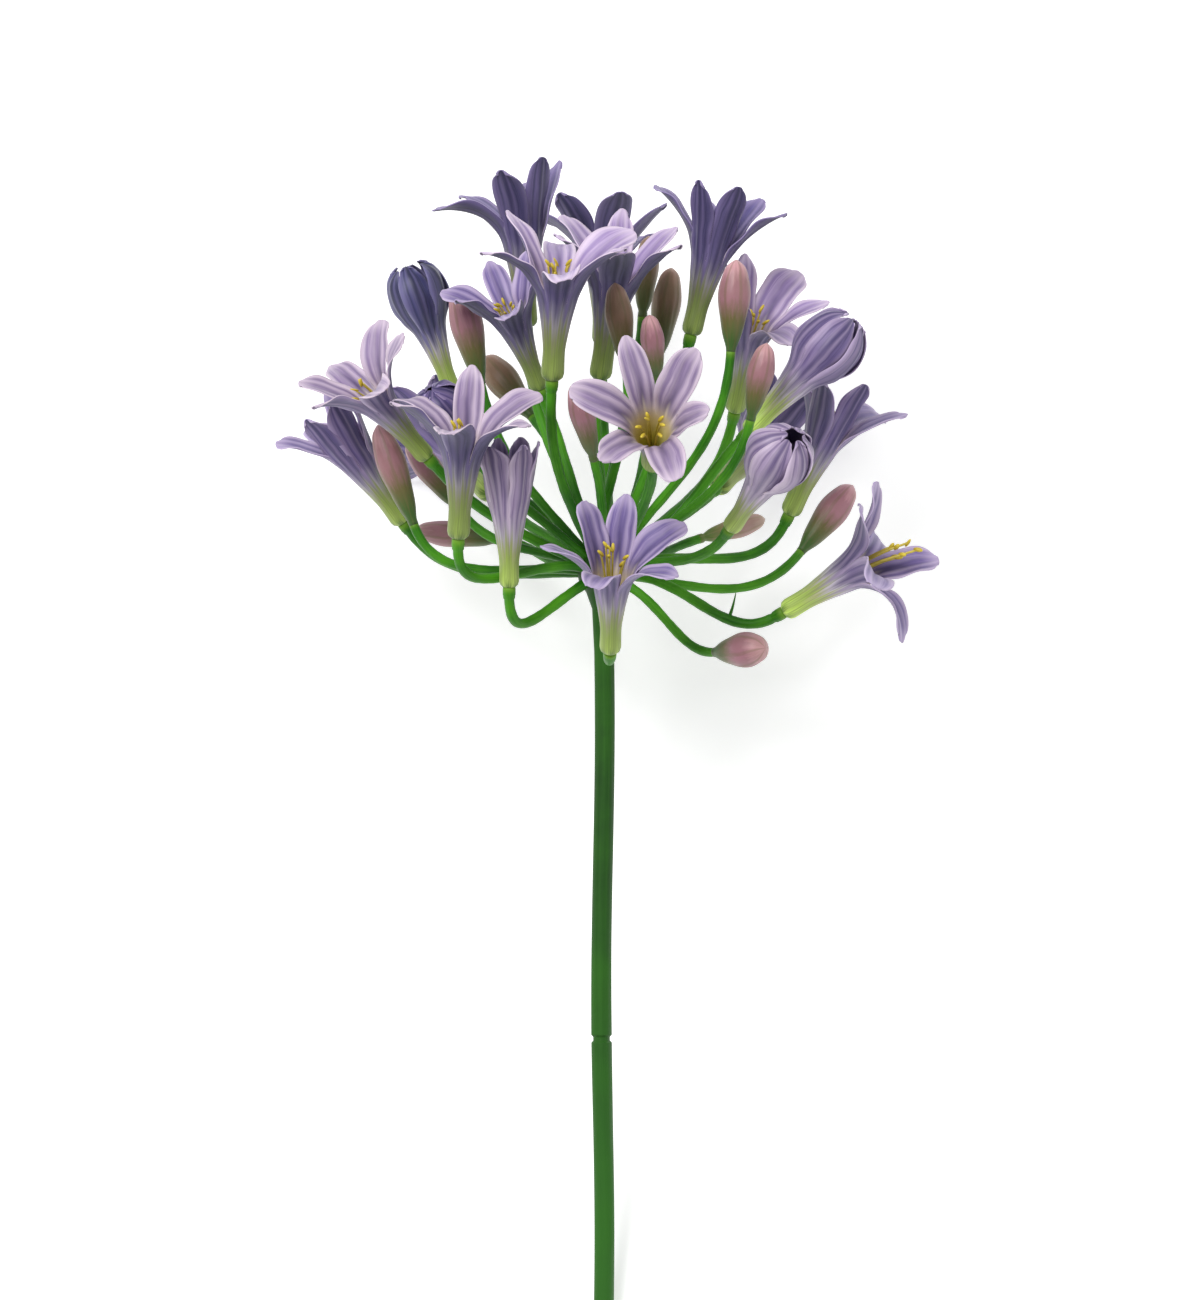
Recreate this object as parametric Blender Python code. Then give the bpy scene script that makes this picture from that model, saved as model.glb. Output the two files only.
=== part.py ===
"""Agapanthus flower: an umbel of open florets, half-closed florets and buds on a cut stem,
lying on its side.

Everything is modelled in the flower's own frame and then laid down. That frame has its origin
in the hub where all the stalks meet, x across the flower, y up along the stem and z towards
the side that lies uppermost. Sizes are written in millimetres and built in metres, +Z up.

Run with: blender --background --python part.py
"""
import math
from dataclasses import dataclass

import bmesh
import bpy
from mathutils import Matrix, Vector

MM = 0.001
GAP = 0.3                        # clearance between a piece and what carries it

# Stem
STEM_LENGTH = 232.0              # from the hub's centre to the cut end
STEM_RADIUS = 3.0
STEM_SWAY = 0.5                  # how far the stem wanders off its axis
STEM_SIDES = 16
JOINT_AT = 140.0                 # ring joint, measured down from the hub
JOINT_RADIUS = 2.5
JOINT_HEIGHT = 2.0
HUB_RADIUS = 8.0
HUB_ANGLES = (140, 115, 90, 65, 40, 18)   # rings of the hub's ball, from its top pole (deg)

# Stalks (pedicels)
STALK_RADIUS = 1.55
STALK_SIDES = 6
STALK_STATIONS = 9
SOCKET_RADIUS = 1.9             # flared end that holds a floret
SOCKET_LENGTH = 1.6
CAP_RISE = 0.15                  # ends are very slightly domed
ROOT_SPACING = 0.41              # least distance between stalks, in hub radii
ROOT_ROUNDS = 200
ROOT_LOWEST = -0.45              # stalks start no lower on the hub than this (in hub radii)

# Florets
PETALS = 6
RING_STEP = math.radians(30)     # twelve points to a ring: petal middles and seams in turn
TUBE_PROFILE = ((CAP_RISE, 2.2), (1.6, 3.4), (8.0, 3.3), (15.0, 4.1), (24.0, 5.8))
THROAT_DEPTH = 9.5
THROAT_RADIUS = 2.9
THROAT_POINT = 1.5               # depth of the shallow cone that closes the throat
PETAL_LENGTH = 27.0
PETAL_THICKNESS = 0.9
PETAL_CUP = 0.9                  # how far a petal's edges curl towards its inner side
PETAL_STATIONS = ((0.30, 0.88), (0.60, 1.0), (0.86, 0.74))   # along the petal, share of width
OUTER_WIDTH = 9.2
INNER_WIDTH = 11.0
START_LEAN = 13.0                # an open floret's petals leave the rim at this angle (deg)
SEAM_SHARE = 0.86                # how much of the room between its neighbours a petal may fill
CURVE_STEPS = 16

# Buds
BUD_SIDES = 8
BUD_STALK_RADIUS = 1.4
BUD_PROFILE = ((0.0, 0.32), (0.10, 0.50), (0.34, 0.80), (0.62, 1.0), (0.84, 0.76), (0.96, 0.34))

# Stamens
FILAMENT_SIZE = 0.55
STAMEN_DISC_RADIUS = 1.2
STAMEN_DISC_HEIGHT = 1.0
STAMEN_REACH = (6.0, 12.5, 17.5, 20.5)    # height of a filament's points above its disc
STAMEN_SPREAD = (1.3, 2.0, 3.6, 5.2)      # and their distance from the axis
ANTHER_SWELL = 2.1

FLOWER_LEAN = math.radians(18)   # first guess of the stem's slope when the flower lies down


@dataclass(frozen=True)
class Floret:
    """An open or half-closed flower: its seat, where it faces and how far its petals open."""

    number: int
    seat: tuple                  # its base, from the hub (mm)
    facing: tuple                # the way its mouth points
    spread: tuple                # final lean of each petal away from the axis (deg)
    turn: float = 0.0            # turned about its own axis (deg)
    size: float = 1.0
    start: float = START_LEAN    # lean where its petals leave the rim, more if they close again
    slack: float = 0.40          # bow of its stalk, as a share of the distance it spans
    root: tuple = ()             # the way its stalk leaves the hub, where not straight to its seat
    stamens: bool = False


@dataclass(frozen=True)
class Bud:
    """A closed bud with its stalk: neck and tip from the hub (mm), and its greatest radius."""

    number: int
    neck: tuple
    tip: tuple
    radius: float
    slack: float = 0.40
    root: tuple = ()


LOOSE = (38, 30, 44, 28, 40, 34)           # leans of the two florets that the head rests on

FLORETS = (
    Floret(1, (-23, 74, -16), (-0.05, 0.99, 0.0), (10, 17, 60, 67, 90, 41), turn=46),
    Floret(2, (0, 70, -48), (0.02, 0.95, -0.28), (60, 46, 66, 60, 54, 46), turn=12, size=0.95),
    Floret(3, (26.4, 71.4, -6), (0.23, 0.96, 0.08), (14, 48, 40, 56, 58, 20), turn=20, size=0.93),
    Floret(4, (-15.3, 56.7, 34), (0.06, 0.95, 0.30), (84, 54, 62, 98, 40, 72), turn=0, size=1.02),
    Floret(5, (-19, 55, 0), (-0.34, 0.86, 0.38), (78, 50, 40, 56, 60, 40), turn=0, size=0.84),
    Floret(6, (-45.3, 54, -28), (-0.33, 0.93, 0.12), (-10, -2, -8, -10, -8, -6), start=26, size=0.82),
    Floret(7, (-52.5, 34, 12), (-0.62, 0.70, 0.35), (85, 62, 62, 76, 36, 50), turn=5, size=0.88),
    Floret(8, (-43, 9.6, 42), (0.05, 0.96, 0.28), (80, 72, 64, 22, 88, 60), turn=-8),
    Floret(9, (-60.3, 15, -16), (-0.56, 0.78, 0.28), (12, 16, 2, 74, 42, 6), turn=20, size=0.9),
    Floret(10, (-28, -4.8, 31), (0.0, 0.98, 0.18), (4, 8, 0, -4, 2, 14), start=16, turn=30,
           size=0.87, slack=0.52, root=(-0.7, -0.45, 0.6)),
    Floret(11, (14.5, 31.5, 42), (-0.02, 0.38, 0.92), (66, 32, 52, 62, 66, 57), turn=15, stamens=True),
    Floret(12, (2, -24, 33), (0.02, 0.84, 0.54), (76, 76, 60, 24, 18, 60), turn=-13, size=0.95,
           slack=0.50, root=(0.05, -0.45, 0.9), stamens=True),
    Floret(13, (40, 49, -30), (0.16, 0.85, 0.44), (84, 56, 66, 14, 14, 38), turn=30, size=0.95),
    Floret(14, (43.2, 41.7, 6), (0.68, 0.72, 0.10), (-14, -18, -10, -18, -12, -16), start=30,
           size=0.93),
    Floret(15, (56.4, 17.7, -22), (0.38, 0.85, 0.25), (8, 48, 92, 96, 44, 30), turn=30, size=0.95),
    Floret(16, (37.5, 12.6, 38), (0.42, 0.62, 0.66), (-4, -8, -2, -6, -3, -7), start=28, size=0.86),
    Floret(17, (54, -12, 14), (0.82, 0.50, 0.26), (92, 112, 34, 104, 48, 60), turn=16, size=0.95,
           stamens=True),
    Floret(18, (-1, 58, -2), (0.14, 0.96, 0.22), (64, 46, 40, 8, 50, 56), turn=0),
    Floret(19, (-34, 24, -43), (-0.46, 0.46, -0.76), LOOSE),
    Floret(20, (35, 26, -43), (0.45, 0.46, -0.77), LOOSE),
)

BUDS = (
    Bud(1, (-37, 57.6, -10), (-43.8, 86.4, -8), 5.0),
    Bud(2, (-22, 48, -34), (-36, 66, -44), 5.0),
    Bud(3, (6.6, 62, 20), (3.3, 86, 24), 4.2),
    Bud(4, (16, 58, 22), (13.5, 76, 34), 3.6),
    Bud(5, (12, 78, -22), (14, 102, -26), 3.8),
    Bud(6, (38, 66.6, 20), (39.6, 93, 22), 4.9),
    Bud(7, (44, 46, 22), (48.6, 68, 26), 4.1),
    Bud(8, (-57, 15, 9), (-67.5, 44, 10), 4.5),
    Bud(9, (-44, 20, -18), (-59, 40, -22), 4.2),
    Bud(10, (-32, 10, -30), (-57, 13, -42), 4.0),
    Bud(11, (-3, 34, 26), (-8.7, 55.8, 40), 3.9),
    Bud(12, (60.6, 7.2, -26), (76, 26.7, -32), 4.8),
    Bud(13, (34, -24, 12), (48.3, -22.8, 26), 5.4),
    Bud(14, (30, 10.5, -30), (49.5, 16.5, -40), 3.4),
    Bud(15, (17, 66, -30), (21, 93, -42), 4.5),
    Bud(16, (-42.5, 39.5, 19), (-51.5, 54, 36), 7.8),
)


def clear_scene():
    for obj in list(bpy.data.objects):
        bpy.data.objects.remove(obj, do_unlink=True)


def make_material(name, colour, roughness):
    material = bpy.data.materials.new(name)
    material.use_nodes = True
    shader = material.node_tree.nodes["Principled BSDF"]
    shader.inputs["Base Color"].default_value = (*colour, 1.0)
    shader.inputs["Roughness"].default_value = roughness
    shader.inputs["Metallic"].default_value = 0.0
    return material


def add_piece(name, bm, material, parent, placing=None):
    """Turn a mesh in millimetres into an object in metres, under the flower's frame."""
    bmesh.ops.recalc_face_normals(bm, faces=bm.faces)
    bmesh.ops.scale(bm, vec=(MM, MM, MM), verts=bm.verts)
    mesh = bpy.data.meshes.new(name)
    bm.to_mesh(mesh)
    bm.free()
    mesh.shade_smooth()
    mesh.set_sharp_from_angle(angle=math.radians(40))
    mesh.materials.append(material)
    obj = bpy.data.objects.new(name, mesh)
    bpy.context.collection.objects.link(obj)
    obj.parent = parent
    if placing is not None:
        obj.matrix_local = placing
    return obj


def circle(centre, side, up, radius, sides):
    """Points around a centre, in the plane of two unit vectors."""
    step = 2 * math.pi / sides
    return [centre + radius * (side * math.cos(k * step) + up * math.sin(k * step))
            for k in range(sides)]


def skin(rings, first_pole=None, last_pole=None):
    """Close a row of rings of points into one solid, with a pole or a flat face at each end."""
    bm = bmesh.new()
    loops = [[bm.verts.new(point) for point in ring] for ring in rings]
    for lower, upper in zip(loops, loops[1:]):
        for k in range(len(lower)):
            bm.faces.new((lower[k - 1], lower[k], upper[k], upper[k - 1]))
    for loop, pole in ((loops[0], first_pole), (loops[-1], last_pole)):
        if pole is None:
            bm.faces.new(loop)
            continue
        top = bm.verts.new(pole)
        for k in range(len(loop)):
            bm.faces.new((loop[k - 1], loop[k], top))
    return bm


def stem_mesh():
    """The round stem from its cut end, over the ring joint, to the ball of the hub."""
    half = JOINT_HEIGHT / 2
    profile = [(-STEM_LENGTH, STEM_RADIUS), (-200, STEM_RADIUS), (-170, STEM_RADIUS),
               (-JOINT_AT - 2 * half, STEM_RADIUS + 0.1), (-JOINT_AT - half, JOINT_RADIUS),
               (-JOINT_AT + half, JOINT_RADIUS), (-JOINT_AT + 2 * half, STEM_RADIUS + 0.1)]
    profile += [(height, STEM_RADIUS) for height in (-110, -80, -50, -24)]
    profile.append((-HUB_RADIUS - 3.0, STEM_RADIUS + 0.4))
    for angle in HUB_ANGLES:
        turn = math.radians(angle)
        profile.append((HUB_RADIUS * math.cos(turn), HUB_RADIUS * math.sin(turn)))
    rings = []
    for height, radius in profile:
        free = min(1.0, max(0.0, -height - HUB_RADIUS) / STEM_LENGTH)
        sway = STEM_SWAY * math.sin(free * 3 * math.pi)
        rings.append(circle(Vector((sway, height, 0)), Vector((1, 0, 0)), Vector((0, 0, -1)),
                            radius, STEM_SIDES))
    return skin(rings, last_pole=Vector((0, HUB_RADIUS, 0)))


def bezier(start, start_handle, end_handle, end, stations):
    """Points and unit tangents along a cubic curve, evenly spaced in its own measure."""
    points, tangents = [], []
    for k in range(stations):
        t = k / (stations - 1)
        s = 1 - t
        points.append(s ** 3 * start + 3 * s * s * t * start_handle
                      + 3 * s * t * t * end_handle + t ** 3 * end)
        tangents.append((s * s * (start_handle - start) + 2 * s * t * (end_handle - start_handle)
                         + t * t * (end - end_handle)).normalized())
    return points, tangents


def carried_frames(tangents):
    """Two cross vectors for each tangent, carried along without twisting."""
    side = tangents[0].orthogonal().normalized()
    frames = []
    for tangent in tangents:
        side = (side - side.dot(tangent) * tangent).normalized()
        frames.append((side, tangent.cross(side)))
    return frames


def stalk_curve(root, end, heading, slack):
    """A stalk's course from the hub to the point where it ends, arriving along its heading."""
    start = root * (HUB_RADIUS + GAP + CAP_RISE)
    reach = (end - start).length * slack
    return bezier(start, start + root * reach, end - heading * reach, end, STALK_STATIONS)


def pedicel_mesh(root, floret):
    """Stalk of one floret: a thin curved rod that flares into a socket under the floret."""
    heading = Vector(floret.facing).normalized()
    socket_top = Vector(floret.seat) - heading * (GAP + CAP_RISE)
    socket_foot = socket_top - heading * SOCKET_LENGTH
    points, tangents = stalk_curve(root, socket_foot, heading, floret.slack)
    frames = carried_frames(tangents)
    rings = [circle(point, side, up, STALK_RADIUS, STALK_SIDES)
             for point, (side, up) in zip(points, frames)]
    side, up = frames[-1]
    rings.append(circle(socket_top, side, up, SOCKET_RADIUS, STALK_SIDES))
    return skin(rings, points[0] - tangents[0] * CAP_RISE, socket_top + heading * CAP_RISE)


def bud_mesh(root, bud):
    """A bud and its stalk, grown as one: the stalk swells into a long drop with a blunt tip."""
    neck, tip = Vector(bud.neck), Vector(bud.tip)
    heading = (tip - neck).normalized()
    length = (tip - neck).length
    points, tangents = stalk_curve(root, neck - heading, heading, bud.slack)
    frames = carried_frames(tangents)
    rings = [circle(point, side, up, BUD_STALK_RADIUS, BUD_SIDES)
             for point, (side, up) in zip(points, frames)]
    side, up = frames[-1]
    rings += [circle(neck + heading * (along * length), side, up, share * bud.radius, BUD_SIDES)
              for along, share in BUD_PROFILE]
    return skin(rings, points[0] - tangents[0] * CAP_RISE, tip)


def petal_course(start, lean):
    """Distance from the axis, height above the rim and angle at each point along a petal.

    The petal leaves the rim almost upright and bends outwards until it leans by its full angle.
    """
    distance, height = TUBE_PROFILE[-1][1], 0.0
    step = PETAL_LENGTH / CURVE_STEPS
    course = [(distance, height, math.radians(start))]
    for k in range(CURVE_STEPS):
        along = (k + 0.5) / CURVE_STEPS
        angle = math.radians(start + (lean - start) * math.sin(along * math.pi / 2))
        distance += step * math.sin(angle)
        height += step * math.cos(angle)
        course.append((distance, height, angle))
    return course


def add_petal(bm, floret, index, seams, back, front):
    """Grow one petal from the rim: lens-shaped sections that narrow to a pointed tip."""
    azimuth = index * 2 * RING_STEP
    outward = Vector((math.cos(azimuth), math.sin(azimuth), 0))
    side = Vector((-math.sin(azimuth), math.cos(azimuth), 0))
    lean = floret.spread[index]
    course = petal_course(floret.start, lean)
    width = OUTER_WIDTH if index % 2 else INNER_WIDTH
    wander = 0.9 * math.sin(2.1 * floret.number + 1.7 * index) * max(0.0, lean) / 60
    rim = TUBE_PROFILE[-1][0]
    last = (seams[0], back, seams[1], front)
    for along, share in PETAL_STATIONS:
        distance, height, angle = course[round(along * CURVE_STEPS)]
        room = 2 * distance * math.tan(RING_STEP) * SEAM_SHARE
        half = min(width * share, room) / 2
        inward = Vector((0, 0, 1)) * math.sin(angle) - outward * math.cos(angle)
        middle = outward * distance + Vector((0, 0, rim + height)) + side * (wander * along * along)
        edge = inward * (PETAL_CUP * share)
        section = tuple(bm.verts.new(point) for point in (
            middle - side * half + edge, middle - inward * (PETAL_THICKNESS / 2),
            middle + side * half + edge, middle + inward * (PETAL_THICKNESS / 2)))
        for k in range(4):
            bm.faces.new((last[k - 1], last[k], section[k], section[k - 1]))
        last = section
    distance, height, _ = course[-1]
    tip = bm.verts.new(outward * distance + Vector((0, 0, rim + height)) + side * wander)
    for k in range(4):
        bm.faces.new((last[k - 1], last[k], tip))


def floret_mesh(floret):
    """Six petals joined in a funnel: a thin tube that widens to a rim, hollow at the throat."""
    bm = bmesh.new()
    along_x, along_y = Vector((1, 0, 0)), Vector((0, 1, 0))
    loops = []
    for height, radius in TUBE_PROFILE:
        points = circle(Vector((0, 0, height)), along_x, along_y, radius, 2 * PETALS)
        loops.append([bm.verts.new(point) for point in points])
    rim_height, rim_radius = TUBE_PROFILE[-1]
    fronts = circle(Vector((0, 0, rim_height)), along_x, along_y,
                    rim_radius - PETAL_THICKNESS, PETALS)
    fronts = [bm.verts.new(point) for point in fronts]
    throat_height = rim_height - THROAT_DEPTH
    throat = circle(Vector((0, 0, throat_height)), along_x, along_y, THROAT_RADIUS, 2 * PETALS)
    throat = [bm.verts.new(point) for point in throat]
    base = bm.verts.new((0, 0, 0))
    floor = bm.verts.new((0, 0, throat_height - THROAT_POINT))
    rim = loops[-1]
    inner_rim = [fronts[k // 2] if k % 2 == 0 else rim[k] for k in range(2 * PETALS)]
    for k in range(2 * PETALS):
        for lower, upper in zip(loops, loops[1:]):
            bm.faces.new((lower[k - 1], lower[k], upper[k], upper[k - 1]))
        bm.faces.new((inner_rim[k - 1], inner_rim[k], throat[k], throat[k - 1]))
        bm.faces.new((base, loops[0][k - 1], loops[0][k]))
        bm.faces.new((floor, throat[k - 1], throat[k]))
    for index in range(PETALS):
        middle = 2 * index
        add_petal(bm, floret, index, (rim[middle - 1], rim[middle + 1]), rim[middle],
                  fronts[index])
    return bm


def stamens_mesh():
    """Six filaments on one small disc, rising through the throat and ending in anthers."""
    bm = bmesh.new()
    floor = TUBE_PROFILE[-1][0] - THROAT_DEPTH - THROAT_POINT
    foot = floor + THROAT_POINT * STAMEN_DISC_RADIUS / THROAT_RADIUS + GAP
    along_x, along_y = Vector((1, 0, 0)), Vector((0, 1, 0))
    side_turn = Matrix.Rotation(RING_STEP / 2, 4, "Z")
    loops = []
    for height in (foot, foot + STAMEN_DISC_HEIGHT):
        points = circle(Vector((0, 0, height)), along_x, along_y, STAMEN_DISC_RADIUS, 2 * PETALS)
        loops.append([bm.verts.new(side_turn @ point) for point in points])
    bm.faces.new(loops[0])
    bm.faces.new(loops[1])
    for k in range(2 * PETALS):
        corners = [loops[0][k - 1], loops[0][k], loops[1][k], loops[1][k - 1]]
        if k % 2:
            bm.faces.new(corners)
            continue
        azimuth = k * RING_STEP
        outward = Vector((math.cos(azimuth), math.sin(azimuth), 0))
        side = Vector((-math.sin(azimuth), math.cos(azimuth), 0))
        last = corners
        for place, (reach, spread) in enumerate(zip(STAMEN_REACH, STAMEN_SPREAD)):
            half = FILAMENT_SIZE / 2 * (ANTHER_SWELL if place >= 2 else 1.0)
            centre = outward * spread + Vector((0, 0, foot + STAMEN_DISC_HEIGHT + reach))
            section = [bm.verts.new(centre + point) for point in (
                -side * half + outward * half, side * half + outward * half,
                side * half - outward * half, -side * half - outward * half)]
            for c in range(4):
                bm.faces.new((last[c - 1], last[c], section[c], section[c - 1]))
            last = section
        bm.faces.new(last)
    return bm


def floret_placing(floret):
    """Stand a floret on its seat, facing its own way, its first petal towards the front."""
    axis = Vector(floret.facing).normalized()
    front = Vector((0, 0, 1))
    first = (front - front.dot(axis) * axis).normalized()
    across = axis.cross(first)
    facing = Matrix((first, across, axis)).transposed().to_4x4()
    turned = Matrix.Rotation(math.radians(floret.turn), 4, "Z")
    size = Matrix.Scale(floret.size, 4)
    return Matrix.Translation(Vector(floret.seat) * MM) @ facing @ turned, size


def spread_roots(wanted):
    """Where the stalks leave the hub: close to the wanted ways, but never closer together
    than their spacing."""
    roots = [way.normalized() for way in wanted]
    for _ in range(ROOT_ROUNDS):
        for i, one in enumerate(roots):
            for other in roots[:i]:
                apart = one - other
                lack = ROOT_SPACING - apart.length
                if lack > 0:
                    push = apart.normalized() * (lack / 2)
                    one += push
                    other -= push
        for root in roots:
            root.y = max(root.y, ROOT_LOWEST)
            root.normalize()
    return roots


def lowest_point(obj, up):
    """The vertex of an object that reaches furthest against a direction."""
    bpy.context.view_layer.update()
    points = [obj.matrix_world @ vertex.co for vertex in obj.data.vertices]
    return min(points, key=up.dot)


def lay_down(frame, stem, left, right):
    """Turn the flower until its cut end and two florets touch one level plane.

    The plane through the three lowest points is found again after each turn, because the
    turn decides which points are lowest.
    """
    turn = Matrix.Rotation(FLOWER_LEAN, 3, "X")
    for _ in range(4):
        up = turn.transposed() @ Vector((0, 0, 1))
        foot, port, starboard = (lowest_point(obj, up) for obj in (stem, left, right))
        normal = (starboard - foot).cross(port - foot).normalized()
        ahead = Vector((0, 1, 0))
        ahead = (ahead - ahead.dot(normal) * normal).normalized()
        turn = Matrix((ahead.cross(normal), ahead, normal))
    frame.matrix_world = turn.to_4x4()


def centre_on_floor(frame, pieces):
    """Move the flower so that its box stands on z = 0, centred on the origin."""
    bpy.context.view_layer.update()
    points = [obj.matrix_world @ vertex.co for obj in pieces for vertex in obj.data.vertices]
    low = Vector(min(point[axis] for point in points) for axis in range(3))
    high = Vector(max(point[axis] for point in points) for axis in range(3))
    shift = Vector((-(low.x + high.x) / 2, -(low.y + high.y) / 2, -low.z))
    frame.matrix_world = Matrix.Translation(shift) @ frame.matrix_world


def build():
    clear_scene()
    stem_green = make_material("stem_green", (0.027, 0.115, 0.019), 0.45)
    stalk_green = make_material("stalk_green", (0.045, 0.200, 0.020), 0.45)
    petal_lilac = make_material("petal_lilac", (0.330, 0.235, 0.520), 0.60)
    bud_mauve = make_material("bud_mauve", (0.330, 0.160, 0.250), 0.55)
    stamen_yellow = make_material("stamen_yellow", (0.600, 0.480, 0.060), 0.55)

    frame = bpy.data.objects.new("flower_frame", None)
    bpy.context.collection.objects.link(frame)
    stem = add_piece("stem", stem_mesh(), stem_green, frame)
    pieces = [stem]

    heads = FLORETS + BUDS
    wanted = [Vector(head.root or getattr(head, "seat", None) or head.neck) for head in heads]
    roots = spread_roots(wanted)

    opened = {}
    for floret, root in zip(FLORETS, roots):
        placing, size = floret_placing(floret)
        bm = floret_mesh(floret)
        bmesh.ops.transform(bm, matrix=size, verts=bm.verts)
        name = f"floret_{floret.number:02d}"
        opened[floret.number] = add_piece(name, bm, petal_lilac, frame, placing)
        pieces.append(opened[floret.number])
        name = f"pedicel_{floret.number:02d}"
        pieces.append(add_piece(name, pedicel_mesh(root, floret), stalk_green, frame))
        if floret.stamens:
            name = f"stamens_{floret.number:02d}"
            pieces.append(add_piece(name, stamens_mesh(), stamen_yellow, frame, placing))

    for bud, root in zip(BUDS, roots[len(FLORETS):]):
        name = f"bud_{bud.number:02d}"
        pieces.append(add_piece(name, bud_mesh(root, bud), bud_mauve, frame))

    lay_down(frame, stem, opened[19], opened[20])
    centre_on_floor(frame, pieces)


build()
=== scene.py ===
"""Looks of the agapanthus flower: smooth petals, stamens, buds, stalks and stem over the CAD pieces."""

import logging
import math
from collections.abc import Iterator
from dataclasses import dataclass, field
from enum import Enum

import bpy
import numpy as np
from mathutils import Matrix, Vector


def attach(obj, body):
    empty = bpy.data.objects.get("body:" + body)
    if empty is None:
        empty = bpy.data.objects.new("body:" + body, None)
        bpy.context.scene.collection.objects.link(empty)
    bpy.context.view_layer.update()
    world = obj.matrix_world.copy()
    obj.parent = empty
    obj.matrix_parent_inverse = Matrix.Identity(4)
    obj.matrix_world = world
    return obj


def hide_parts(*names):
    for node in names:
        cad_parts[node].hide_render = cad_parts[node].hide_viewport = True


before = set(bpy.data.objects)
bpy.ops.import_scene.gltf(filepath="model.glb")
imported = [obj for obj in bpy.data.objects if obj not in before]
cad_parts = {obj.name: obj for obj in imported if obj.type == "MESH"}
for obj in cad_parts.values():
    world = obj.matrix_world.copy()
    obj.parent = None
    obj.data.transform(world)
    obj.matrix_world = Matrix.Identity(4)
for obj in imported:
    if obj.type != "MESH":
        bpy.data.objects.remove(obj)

LOG = logging.getLogger("agapanthus")
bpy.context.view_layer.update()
Array = np.ndarray
Material = bpy.types.Material
Piece = bpy.types.Object
Socket = bpy.types.NodeSocket
Rgb = tuple[int, int, int]
Rgba = tuple[float, float, float, float]
MM = 0.001
TURN = 2.0 * math.pi
PETALS = 6
TWELFTH = math.pi / 6.0


class Shade(Enum):
    """How deep the colour of a floret is: lighter and darker copies of one colouring, partly the floret's
    own tone and partly painted shade where a floret or its outside lies in shadow.
    """

    PALE = "pale"
    MAUVE = "mauve"
    LILAC = "lilac"
    MIDDLE = "middle"
    DARK = "dark"
    NAVY = "navy"


class BudTone(Enum):
    """Colour family of a closed bud."""

    PINK = "pink"
    OLIVE = "olive"
    PALE = "pale"


# Florets are middle violet and buds are pink, apart from those named here.
FLORETS = range(1, 21)
# The darker shades and backs named here partly paint the shade on florets and outsides that lie in shadow.
FLORET_SHADES = {
    1: Shade.DARK, 2: Shade.DARK, 3: Shade.DARK, 4: Shade.PALE, 6: Shade.NAVY, 7: Shade.MAUVE,
    8: Shade.MAUVE, 10: Shade.LILAC, 11: Shade.MAUVE, 13: Shade.PALE, 16: Shade.LILAC, 18: Shade.PALE,
}
BACK_SHADES = {
    4: Shade.DARK, 5: Shade.DARK, 8: Shade.DARK, 13: Shade.MIDDLE, 14: Shade.PALE,
    17: Shade.PALE, 18: Shade.DARK,
}
BUDS = range(1, 17)
BUD_TONES = {2: BudTone.OLIVE, 3: BudTone.OLIVE, 5: BudTone.OLIVE, 14: BudTone.PALE, 15: BudTone.OLIVE}
GOBLET = 16  # the bud that has begun to open
THORNED = 17  # the floret whose stalk carries the thorn
STRETCHED = {11: 1.15, 12: 1.15, 17: 1.45}  # factors on the size of the stamens
SAGS = {12: 2.2 * MM}  # furthest that a stalk hangs below its end
OPEN_FROM = 7.0 * MM  # distance of the petal tips from the axis from which stamens show


# ---------------------------------------------------------------- helpers


def unit(vectors: Array) -> Array:
    """Return the vectors scaled to length one along the last axis."""
    return vectors / np.maximum(np.linalg.norm(vectors, axis=-1, keepdims=True), 1e-12)


def square_to(vectors: Array, axis: Array) -> Array:
    """Return the part of the vectors at right angles to a unit axis."""
    along = np.sum(vectors * axis, axis=-1, keepdims=True)
    return vectors - along * axis


def right_of(up: Array) -> Array:
    """Return the level direction to the right of an upward one."""
    return unit(square_to(np.array([1.0, 0.0, 0.0]), up))


def angles(count: int) -> Array:
    """Return evenly spaced angles of one turn."""
    return np.arange(count) * (TURN / count)


def ease(values: Array, low: float, high: float) -> Array:
    """Return 0 below low, 1 above high, and between them three squares less two cubes of the share."""
    share = np.clip((values - low) / (high - low), 0.0, 1.0)
    return share * share * (3.0 - 2.0 * share)


def linear(rgb: Rgb) -> Rgba:
    """Return a display colour as linear light.

    Args:
        rgb: Red, green and blue from 0 to 255.

    Returns:
        Red, green and blue from 0 to 1, and a full alpha.
    """
    shares = [value / 255.0 for value in rgb]
    parts = [s / 12.92 if s <= 0.04045 else ((s + 0.055) / 1.055) ** 2.4 for s in shares]
    return (parts[0], parts[1], parts[2], 1.0)


def level_curve(where: Array, at: Array, values: Array) -> Array:
    """Return a smooth curve through values: cubics whose slope is the harmonic mean of the rises.

    Args:
        where: Places wanted.
        at: Places of the values, rising.
        values: Values to pass through, which the curve never overshoots.

    Returns:
        The value at each wanted place.
    """
    gaps = np.diff(at)
    rises = np.diff(values) / gaps
    same = rises[:-1] * rises[1:] > 0.0
    mean = 2.0 * rises[:-1] * rises[1:] / np.where(same, rises[:-1] + rises[1:], 1.0)
    slopes = np.concatenate([[rises[0]], np.where(same, mean, 0.0), [rises[-1]]])
    cell = np.clip(np.searchsorted(at, where, side="right") - 1, 0, len(gaps) - 1)
    share = np.clip((where - at[cell]) / gaps[cell], 0.0, 1.0)
    rest = 1.0 - share
    ends = values[cell] * rest**2 * (1.0 + 2.0 * share) + values[cell + 1] * share**2 * (3.0 - 2.0 * share)
    return ends + gaps[cell] * (slopes[cell] * share * rest**2 - slopes[cell + 1] * share**2 * rest)


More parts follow.
